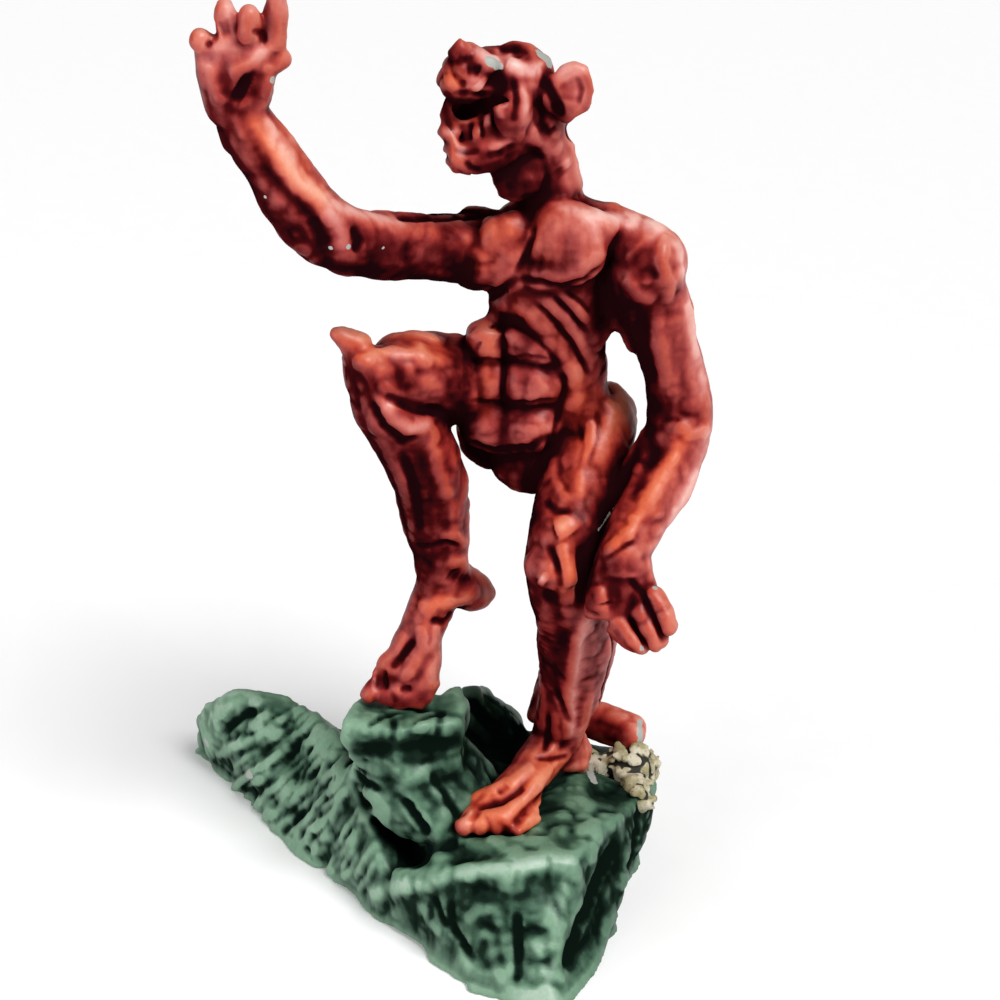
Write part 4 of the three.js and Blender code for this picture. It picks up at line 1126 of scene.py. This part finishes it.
class Shader:
    """Short ways to lay nodes in one material."""

    def __init__(self, name):
        self.material = bpy.data.materials.new(name)
        self.material.use_nodes = True
        self.tree = self.material.node_tree
        self.surface = self.tree.nodes["Principled BSDF"]

    def join(self, source, node, socket):
        """Links a node's output, or sets a plain value, on another node's input."""
        if hasattr(source, "is_output"):
            self.tree.links.new(source, node.inputs[socket])
        else:
            node.inputs[socket].default_value = source

    def channel(self, name):
        """One of a piece's paint channels."""
        node = self.tree.nodes.new("ShaderNodeAttribute")
        node.attribute_name = name
        return node.outputs["Fac"]

    def place(self, scale):
        """Object coordinates, stretched."""
        coordinates = self.tree.nodes.new("ShaderNodeTexCoord").outputs["Object"]
        node = self.tree.nodes.new("ShaderNodeMapping")
        self.join(coordinates, node, "Vector")
        node.inputs["Scale"].default_value = scale
        return node.outputs["Vector"]

    def noise(self, size, detail=4.0, rough=0.55, stretch=(1, 1, 1)):
        """Noise with lumps of about a size in millimetres."""
        node = self.tree.nodes.new("ShaderNodeTexNoise")
        self.join(self.place(stretch), node, "Vector")
        self.join(1 / (size * MM), node, "Scale")
        self.join(detail, node, "Detail")
        self.join(rough, node, "Roughness")
        return node.outputs["Fac"]

    def math(self, kind, first, second):
        """A sum, product or the like of two numbers."""
        node = self.tree.nodes.new("ShaderNodeMath")
        node.operation = kind
        self.join(first, node, 0)
        self.join(second, node, 1)
        return node.outputs[0]

    def limit(self, source, low, high):
        """A number kept between low and high."""
        node = self.tree.nodes.new("ShaderNodeClamp")
        self.join(source, node, "Value")
        self.join(low, node, "Min")
        self.join(high, node, "Max")
        return node.outputs["Result"]

    def steps(self, source, low, high):
        """A smooth step from 0 at low to 1 at high."""
        node = self.tree.nodes.new("ShaderNodeMapRange")
        node.interpolation_type = "SMOOTHSTEP"
        self.join(source, node, "Value")
        self.join(low, node, "From Min")
        self.join(high, node, "From Max")
        return node.outputs["Result"]

    def facing(self, direction):
        """How far the surface faces a direction, from -1 to 1."""
        normal = self.tree.nodes.new("ShaderNodeNewGeometry").outputs["Normal"]
        node = self.tree.nodes.new("ShaderNodeVectorMath")
        node.operation = "DOT_PRODUCT"
        self.join(normal, node, 0)
        node.inputs[1].default_value = direction
        return node.outputs["Value"]

    def ramp(self, source, steps):
        """A colour between steps of (place, colour)."""
        node = self.tree.nodes.new("ShaderNodeValToRGB")
        for i, (place, tint) in enumerate(steps):
            element = node.color_ramp.elements[i] if i < 2 else node.color_ramp.elements.new(place)
            element.position = place
            element.color = tint
        self.join(source, node, "Fac")
        return node.outputs["Color"]

    def mix(self, share, first, second):
        """A colour between two colours."""
        node = self.tree.nodes.new("ShaderNodeMix")
        node.data_type = "RGBA"
        self.join(share, node, "Factor")
        self.join(first, node, 6)
        self.join(second, node, 7)
        return node.outputs[2]

    def blend(self, share, first, second):
        """A number between two numbers."""
        node = self.tree.nodes.new("ShaderNodeMix")
        self.join(share, node, "Factor")
        self.join(first, node, 2)
        self.join(second, node, 3)
        return node.outputs[0]

    def bump(self, height, depth, strength):
        """Surface directions from a height, with a depth in millimetres."""
        node = self.tree.nodes.new("ShaderNodeBump")
        self.join(height, node, "Height")
        self.join(depth * MM, node, "Distance")
        self.join(strength, node, "Strength")
        return node.outputs["Normal"]

    def finish(self, **sockets):
        """The material, with its surface's inputs joined by name."""
        for socket, source in sockets.items():
            self.join(source, self.surface, socket.replace("_", " "))
        return self.material


def paint_tone(s, base, channels, light, facing, mottle_size):
    """How light the paint is, from 0 in the deepest hollow to 1 on the highest edge: painted shade in the
    hollows, painted highlight on the ridges and on the side facing the light, the painted marks and random
    mottling.
    """
    noises = [
        (s.noise(mottle_size, 6.0, 0.6), MOTTLE_TONE),
        (s.noise(GRAIN_SIZE, 3.0, 0.6), GRAIN_TONE),
        (s.noise(STREAK_SIZE, 4.0, 0.65, STREAK_STRETCH), STREAK_TONE),
    ]
    parts = [(s.math("SUBTRACT", noise, 0.5), weight) for noise, weight in noises]
    # Painted light and shade: lighter on the side facing the light, lighter on the pale marks and darker on
    # the dark marks
    parts += [(s.facing(light), facing), (s.channel("pale"), PALE_AND_PAINTED_HIGHLIGHT_LIFT), (s.channel("dark"), -DARK_AND_PAINTED_SHADE_DROP)]
    # The hollows and ridges of each scale: painted shade and painted highlight
    for name, (weight, low, high) in channels.items():
        parts.append((s.limit(s.channel(name), low, high), weight))
    tone = base
    for part, weight in parts:
        tone = s.math("ADD", s.math("MULTIPLY", part, weight), tone)
    return tone


def chipped(s, coat, grain):
    """Bare metal where the paint is chipped: the coat with its chips, and the share of metal."""
    bare = s.steps(s.math("MULTIPLY", s.channel("bare"), s.math("ADD", grain, CHIP_FRAY)), *CHIP_EDGE)
    return s.mix(bare, coat, CHIP_COLOUR), s.math("MULTIPLY", bare, CHIP_SHINE)


def varnished(s, coat, tone, grain, roughness, bump):
    """Finishes a paint: chipped, unevenly satin, with no gloss in the dark wash and painted shade."""
    coat, metal = chipped(s, coat, grain)
    size, depth, strength = bump
    return s.finish(
        Base_Color=coat,
        Metallic=metal,
        Roughness=s.math("ADD", s.blend(s.noise(DULL_SIZE, 3.0), *roughness), metal),
        Normal=s.bump(s.math("ADD", grain, s.noise(size, 2.0)), depth, strength),
        Specular_IOR_Level=s.math("MULTIPLY", s.steps(tone, *GLOSS_TONES), GLOSS),
    )


def red_paint():
    """Layered red paint: black wash and painted shade in the hollows, orange and rose dry-brushing and
    painted highlight towards the edges and on the side facing the light.
    """
    s = Shader("red_paint")
    tone = paint_tone(s, RED_BASE, RED_CHANNELS, RED_PAINTED_LIGHT_FROM, RED_PAINTED_LIGHT_WEIGHT, RED_MOTTLE)
    rose = s.math("MULTIPLY", s.steps(s.noise(ROSE_SIZE, 3.0), *ROSE_RANGE), ROSE_SHARE)
    # Rose also where the pale marks lie: pale paint and painted reflection
    rose = s.math("MAXIMUM", rose, s.channel("pale"))
    coat = s.mix(rose, s.ramp(tone, RED_STEPS), s.ramp(tone, ROSE_STEPS))
    # Orange where the orange marks lie: orange paint and painted highlight
    coat = s.mix(s.channel("orange_and_painted_highlight"), coat, s.ramp(tone, ORANGE_STEPS))
    return varnished(s, coat, tone, s.noise(0.35, 3.0, 0.6), RED_ROUGHNESS, bump=(0.9, 0.05, 0.4))


def green_paint():
    """Dark green paint on rock: near black wash and painted shade in the hollows, pale grey-green
    dry-brushing and painted highlight on the edges and on the side facing the light.
    """
    s = Shader("green_paint")
    tone = paint_tone(s, GREEN_BASE, GREEN_CHANNELS, GREEN_PAINTED_LIGHT_FROM, GREEN_PAINTED_LIGHT_WEIGHT, GREEN_MOTTLE)
    coat = s.ramp(tone, GREEN_STEPS)
    return varnished(s, coat, tone, s.noise(0.5, 4.0, 0.65), GREEN_ROUGHNESS, bump=(1.2, 0.08, 0.5))


def filler_paste():
    """Crumbly cream filler, stained grey and brown in patches, and near black towards its hollows."""
    s = Shader("filler")
    grain = s.noise(0.4, 5.0, 0.7)
    coat = s.mix(s.steps(s.noise(1.5, 4.0), 0.42, 0.58), FILLER_OCHRE, FILLER_CREAM)
    coat = s.mix(s.steps(grain, 0.52, 0.7), coat, FILLER_STAIN)
    # Near black towards the hollows
    pits = s.math("MULTIPLY", s.channel("fine"), -1.0)
    coat = s.mix(s.steps(pits, 0.0, 0.4), coat, FILLER_PIT)
    return s.finish(
        Base_Color=coat,
        Roughness=s.blend(grain, 0.7, 0.95),
        Normal=s.bump(grain, 0.12, 0.7),
    )


def brass_wire():
    """Brass wire with a fine bump and a little tarnish."""
    s = Shader("brass")
    tarnish = s.steps(s.noise(0.8, 4.0), 0.45, 0.7)
    return s.finish(
        Base_Color=s.mix(tarnish, BRASS_BRIGHT, BRASS_DULL),
        Metallic=1.0,
        Roughness=s.blend(tarnish, 0.25, 0.5),
        Normal=s.bump(s.noise(0.2, 2.0), 0.02, 0.3),
    )


# Studio: half the floor's width in metres, its two tints and its glow, and the light of the air
FLOOR_SIZE = 3.0
FLOOR_TINTS = colour(0.9, 0.9, 0.9), colour(0.94, 0.94, 0.94)
FLOOR_GLOW = 0.12
AIR_LIGHT = 0.25
STUDIO_MIDDLE = (6, 0, 32)


def studio_floor():
    """A pale paper floor."""
    mesh = bpy.data.meshes.new("studio_floor")
    sides = [(-1, -1), (1, -1), (1, 1), (-1, 1)]
    mesh.from_pydata([(x * FLOOR_SIZE, y * FLOOR_SIZE, 0) for x, y in sides], [], [(0, 1, 2, 3)])
    floor = bpy.data.objects.new("studio_floor", mesh)
    bpy.context.collection.objects.link(floor)
    s = Shader("floor")
    paper = s.mix(s.noise(3.0, 3.0), *FLOOR_TINTS)
    s.finish(Base_Color=paper, Roughness=0.9, Emission_Color=paper, Emission_Strength=FLOOR_GLOW)
    mesh.materials.append(s.material)


def soft_light(name, place, target, size, power):
    """A square soft box at a place in millimetres that faces a target."""
    data = bpy.data.lights.new(name, "AREA")
    data.size = size * MM
    data.energy = power
    lamp = bpy.data.objects.new(name, data)
    lamp.location = Vector(place) * MM
    lamp.rotation_euler = (Vector(target) - Vector(place)).to_track_quat("-Z", "Y").to_euler()
    bpy.context.collection.objects.link(lamp)


def soft_sun(name, turn, height, power, softness):
    """Even light from a turn and a height in degrees."""
    data = bpy.data.lights.new(name, "SUN")
    data.energy = power
    data.angle = math.radians(softness)
    lamp = bpy.data.objects.new(name, data)
    lamp.rotation_euler = (math.radians(90 - height), 0, math.radians(turn))
    bpy.context.collection.objects.link(lamp)


def studio():
    """The floor, a large soft key light, a weak light from the left and even light all round."""
    studio_floor()
    soft_sun("key_light", turn=48, height=52, power=2.8, softness=30)
    soft_light("side_light", place=(-110, -90, 60), target=STUDIO_MIDDLE, size=120, power=0.1)
    world = bpy.data.worlds.new("studio_air")
    world.use_nodes = True
    background = world.node_tree.nodes["Background"]
    background.inputs["Color"].default_value = colour(1, 1, 1)
    background.inputs["Strength"].default_value = AIR_LIGHT
    bpy.context.scene.world = world
    bpy.context.scene.view_settings.view_transform = "Standard"


def photo_camera():
    """The photograph's view."""
    data = bpy.data.cameras.new("photo_camera")
    data.angle = math.radians(LENS_ANGLE)
    data.clip_start = NEAR_CLIP * MM
    camera = bpy.data.objects.new("photo_camera", data)
    camera.location = EYE * MM
    camera.rotation_euler = (math.radians(90) - TILT, 0, 0)
    bpy.context.collection.objects.link(camera)
    bpy.context.scene.camera = camera


# Painted marks, with painted highlight and painted shade among them: (width in millimetres, strength, places
# of the photograph)
FIGURE_PAINT_AND_LIGHT_MARKS = {
    # Orange marks: orange paint, and painted highlight on faces turned up and to the light, also over the
    # shaded hip
    "orange_and_painted_highlight": [
        (1.1, 0.85, [(455, 806), (490, 795), (530, 780), (560, 765)]),
        (1.1, 0.85, [(480, 822), (520, 812), (560, 790)]),
        (1.0, 0.85, [(520, 838), (545, 812), (572, 780)]),
        (0.6, 0.9, [(683, 440), (655, 485), (632, 520), (615, 542)]),
        (1.1, 0.55, [(482, 262), (490, 245), (510, 235)]),
        (1.2, 0.5, [(540, 225), (545, 250)]),
        (0.6, 0.8, [(447, 82), (456, 76)]),
        (0.25, 0.6, [(455, 124), (475, 117), (482, 113)]),
        (0.7, 0.7, [(255, 125), (270, 150), (292, 172), (318, 196)]),
        (1.2, 0.6, [(360, 348), (400, 342), (440, 350)]),
        (1.5, 0.7, [(575, 395), (590, 420), (590, 455), (580, 480)]),
        (0.9, 0.7, [(560, 525), (566, 550), (570, 590)]),
        (0.6, 0.6, [(490, 343), (487, 378), (485, 410)]),
        (0.8, 0.4, [(520, 305), (550, 327), (575, 362)]),
        (1.3, 0.8, [(614, 388), (624, 405), (628, 425)]),
        (0.9, 0.6, [(428, 608), (440, 604)]),
        (0.7, 0.5, [(400, 665), (385, 672)]),
    ],
    # Pale marks: pale paint on the teeth, and painted highlight and painted reflection on ridges and on
    # faces turned to the light
    "pale": [
        (0.5, 0.8, [(476, 51), (489, 58), (503, 62)]),
        (0.7, 0.8, [(506, 60), (520, 69), (536, 70)]),
        (0.45, 0.55, [(521, 80), (525, 100), (524, 124)]),
        (0.5, 0.5, [(533, 85), (534, 110), (532, 128)]),
        (0.5, 0.7, [(474, 80), (481, 88)]),
        (0.8, 0.6, [(563, 70), (575, 80), (580, 98)]),
        (0.4, 0.5, [(445, 132), (455, 129)]),
        (1.6, 0.45, [(555, 222), (592, 232)]),
        (2.4, 0.3, [(545, 250), (580, 252)]),
        (1.6, 0.3, [(490, 255), (512, 245)]),
        (2.6, 0.3, [(530, 305), (570, 335), (590, 370)]),
        (1.6, 0.38, [(520, 345), (535, 380), (530, 420)]),
        (1.4, 0.3, [(490, 350), (486, 385), (486, 420)]),
        (0.25, 1.0, [(487, 115), (487, 122)]),
        (0.22, 0.6, [(500, 108), (501, 116)]),
        (0.35, 0.5, [(490, 149), (508, 141)]),
        (0.6, 0.6, [(264, 116), (276, 146), (300, 180), (330, 203), (365, 215), (404, 222)]),
        (0.6, 0.7, [(330, 214), (338, 226), (342, 244)]),
        (0.8, 0.7, [(680, 250), (688, 290), (694, 340), (702, 390)]),
        (0.9, 0.8, [(708, 440), (692, 480), (672, 520), (655, 555)]),
        (0.6, 0.7, [(585, 625), (580, 660), (574, 700), (575, 740)]),
        (0.5, 0.5, [(388, 406), (398, 420), (412, 430), (428, 424)]),
        (0.35, 0.9, [(541, 579)]),
        (0.5, 0.7, [(562, 527)]),
        (0.3, 0.5, [(522, 333), (546, 349)]),
        (0.35, 0.5, [(515, 362), (548, 363), (557, 380)]),
        (0.35, 0.5, [(540, 408), (552, 414), (550, 430)]),
        (0.8, 0.7, [(600, 212), (626, 219), (655, 226)]),
        (0.9, 0.5, [(560, 205), (585, 215)]),
        (1.2, 0.5, [(560, 150), (568, 175)]),
        (0.8, 0.5, [(535, 140), (550, 160)]),
        (0.6, 0.6, [(236, 10), (226, 20)]),
        (0.8, 0.6, [(210, 58), (235, 48), (258, 52)]),
    ],
    # Dark marks: dark paint, and painted shade in the mouth, eye sockets, throat and ear, under the raised
    # arm, in the armpits, between the limbs and under the feet
    "dark": [
        (0.9, 0.85, [(452, 55), (466, 58)]),
        (0.4, 0.55, [(506, 106), (507, 122)]),
        (0.3, 0.5, [(586, 78), (591, 92), (585, 108)]),
        (0.4, 0.9, [(466, 69), (480, 70)]),
        (0.6, 0.85, [(490, 75), (498, 82), (503, 95)]),
        (0.6, 1.0, [(451, 98), (454, 108), (456, 118)]),
        (0.6, 1.0, [(458, 101), (475, 101), (496, 101)]),
        (0.5, 1.0, [(462, 110), (482, 106)]),
        (0.5, 0.9, [(495, 46), (512, 45), (525, 53), (528, 62)]),
        (0.35, 0.55, [(513, 78), (517, 98), (515, 118)]),
        (0.55, 0.65, [(499, 121), (507, 127), (516, 130)]),
        (0.45, 0.9, [(545, 80), (553, 97), (562, 115)]),
        (0.9, 1.0, [(483, 165), (505, 171), (520, 182), (530, 194)]),
        (0.9, 1.0, [(500, 176), (514, 190)]),
        (0.9, 0.75, [(526, 160), (538, 170), (542, 184)]),
        (0.4, 1.0, [(445, 100), (446, 112), (450, 123)]),
        (0.9, 0.95, [(330, 264), (380, 272), (430, 280), (468, 286)]),
        (1.1, 1.0, [(448, 240), (456, 262), (466, 282)]),
        (0.5, 0.9, [(400, 216), (445, 213), (470, 211), (497, 213)]),
        (0.5, 0.25, [(546, 266), (560, 264), (572, 259)]),
        (0.5, 0.9, [(466, 350), (465, 395), (466, 430)]),
        (0.6, 0.4, [(470, 449), (500, 457), (537, 450)]),
        (0.6, 0.9, [(552, 440), (545, 465), (537, 478)]),
        (0.3, 0.25, [(562, 366), (562, 390), (556, 420), (549, 440)]),
        (0.6, 0.7, [(503, 316)]),
        (0.25, 0.35, [(505, 330), (504, 365), (503, 398)]),
        (0.22, 0.15, [(475, 359), (503, 359)]),
        (0.22, 0.12, [(507, 356), (550, 357)]),
        (0.22, 0.22, [(472, 400), (505, 401), (555, 399)]),
        (0.5, 0.3, [(523, 347), (530, 348)]),
        (0.6, 0.35, [(524, 380), (532, 382)]),
        (0.6, 0.35, [(522, 421), (532, 420)]),
        (0.6, 0.9, [(650, 432), (637, 457), (622, 484), (607, 512)]),
        (0.9, 0.95, [(606, 278), (610, 296), (612, 315)]),
        (0.6, 0.8, [(612, 315), (606, 326), (603, 345), (605, 366)]),
        (1.0, 0.6, [(622, 290), (634, 330), (646, 380), (656, 412)]),
        (1.2, 0.3, [(635, 255), (648, 275)]),
        (1.0, 0.5, [(228, 98), (242, 96), (256, 86)]),
        (0.9, 0.5, [(212, 120), (232, 160), (262, 205), (300, 245)]),
        (1.8, 0.6, [(310, 235), (360, 248), (430, 252)]),
        (0.9, 0.45, [(354, 372), (375, 386), (402, 388)]),
        (1.4, 0.5, [(420, 470), (425, 520), (428, 560)]),
        (1.2, 0.35, [(378, 430), (400, 500), (412, 550)]),
        (0.7, 0.5, [(600, 722), (622, 736)]),
        (1.3, 0.4, [(612, 570), (625, 590), (640, 605)]),
        (0.6, 0.95, [(372, 682), (388, 682)]),
        (0.5, 0.9, [(382, 697), (402, 702), (426, 699)]),
        (0.9, 0.6, [(532, 600), (530, 650), (532, 700)]),
        (0.8, 0.9, [(533, 480), (532, 520)]),
        (0.5, 0.9, [(549, 597)]),
        (0.6, 0.8, [(588, 540), (590, 570), (592, 600)]),
        (0.7, 0.7, [(466, 580), (480, 590)]),
        (1.0, 0.7, [(510, 832), (522, 842)]),
        (0.8, 0.7, [(456, 352), (458, 380), (456, 405)]),
        (0.6, 0.8, [(400, 412), (430, 416), (455, 416)]),
    ],
    "bare": [
        (0.4, 1.0, [(490, 60), (499, 66)]),
        (0.5, 1.0, [(541, 54), (548, 62)]),
        (0.1, 1.0, [(598, 530), (606, 518), (613, 508)]),
        (0.25, 1.0, [(655, 588)]),
        (0.25, 1.0, [(642, 648)]),
        (0.35, 0.95, [(640, 722), (640, 745)]),
        (0.22, 1.0, [(331, 247)]),
        (0.22, 1.0, [(349, 247)]),
        (0.28, 1.0, [(272, 80)]),
        (0.15, 1.0, [(265, 197)]),
        (0.15, 1.0, [(383, 248)]),
    ],
}
# The rock's painted marks, with painted highlight and painted shade among them, in the same form
ROCK_PAINT_AND_LIGHT_MARKS = {
    # Pale marks on the rock: painted highlight on the front lip, the right-hand top and the lit wall
    "pale": [
        (0.6, 0.45, [(371, 893), (430, 880), (503, 868)]),
        (0.7, 0.6, [(517, 868), (545, 862), (571, 864)]),
        (1.4, 0.4, [(535, 900), (540, 950), (545, 990)]),
        (2.8, 0.32, [(225, 720), (270, 760), (320, 810), (355, 860)]),
    ],
    # Dark marks on the rock: painted shade under the slab, in the cracks and behind the ledge, and darker
    # paint with painted shade down the right side
    "dark": [
        (0.9, 1.0, [(362, 748), (410, 745), (455, 742)]),
        (1.4, 0.9, [(470, 700), (490, 715), (515, 730)]),
        (0.9, 0.9, [(398, 850), (428, 860)]),
        (0.9, 0.6, [(612, 846), (600, 880), (585, 920), (566, 955)]),
        (2.2, 0.25, [(625, 800), (632, 840), (615, 900), (600, 950)]),
        (0.8, 0.7, [(470, 905), (452, 915)]),
    ],
    "bare": [
        (0.5, 1.0, [(206, 743)]),
        (0.5, 1.0, [(249, 775)]),
        (0.4, 0.9, [(588, 768), (594, 782)]),
    ],
}


def dress(pieces, material):
    """Gives pieces their material and sets them in place of their castings."""
    for name, piece in pieces.items():
        piece.data.materials.append(material)
        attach(piece, "root")
        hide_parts(name)


photo_camera()
studio()
dress(make_pieces(sculpt_figure(), FIGURE_PAINT_AND_LIGHT_MARKS), red_paint())
rock = sculpt_rock()
dress(make_pieces(rock, ROCK_PAINT_AND_LIGHT_MARKS), green_paint())
dress(make_pieces(sculpt_filler(rock), {}), filler_paste())
pin_brass = brass_wire()
for name in PIN_NODES:
    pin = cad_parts[name]
    pin.data.materials.clear()
    pin.data.materials.append(pin_brass)
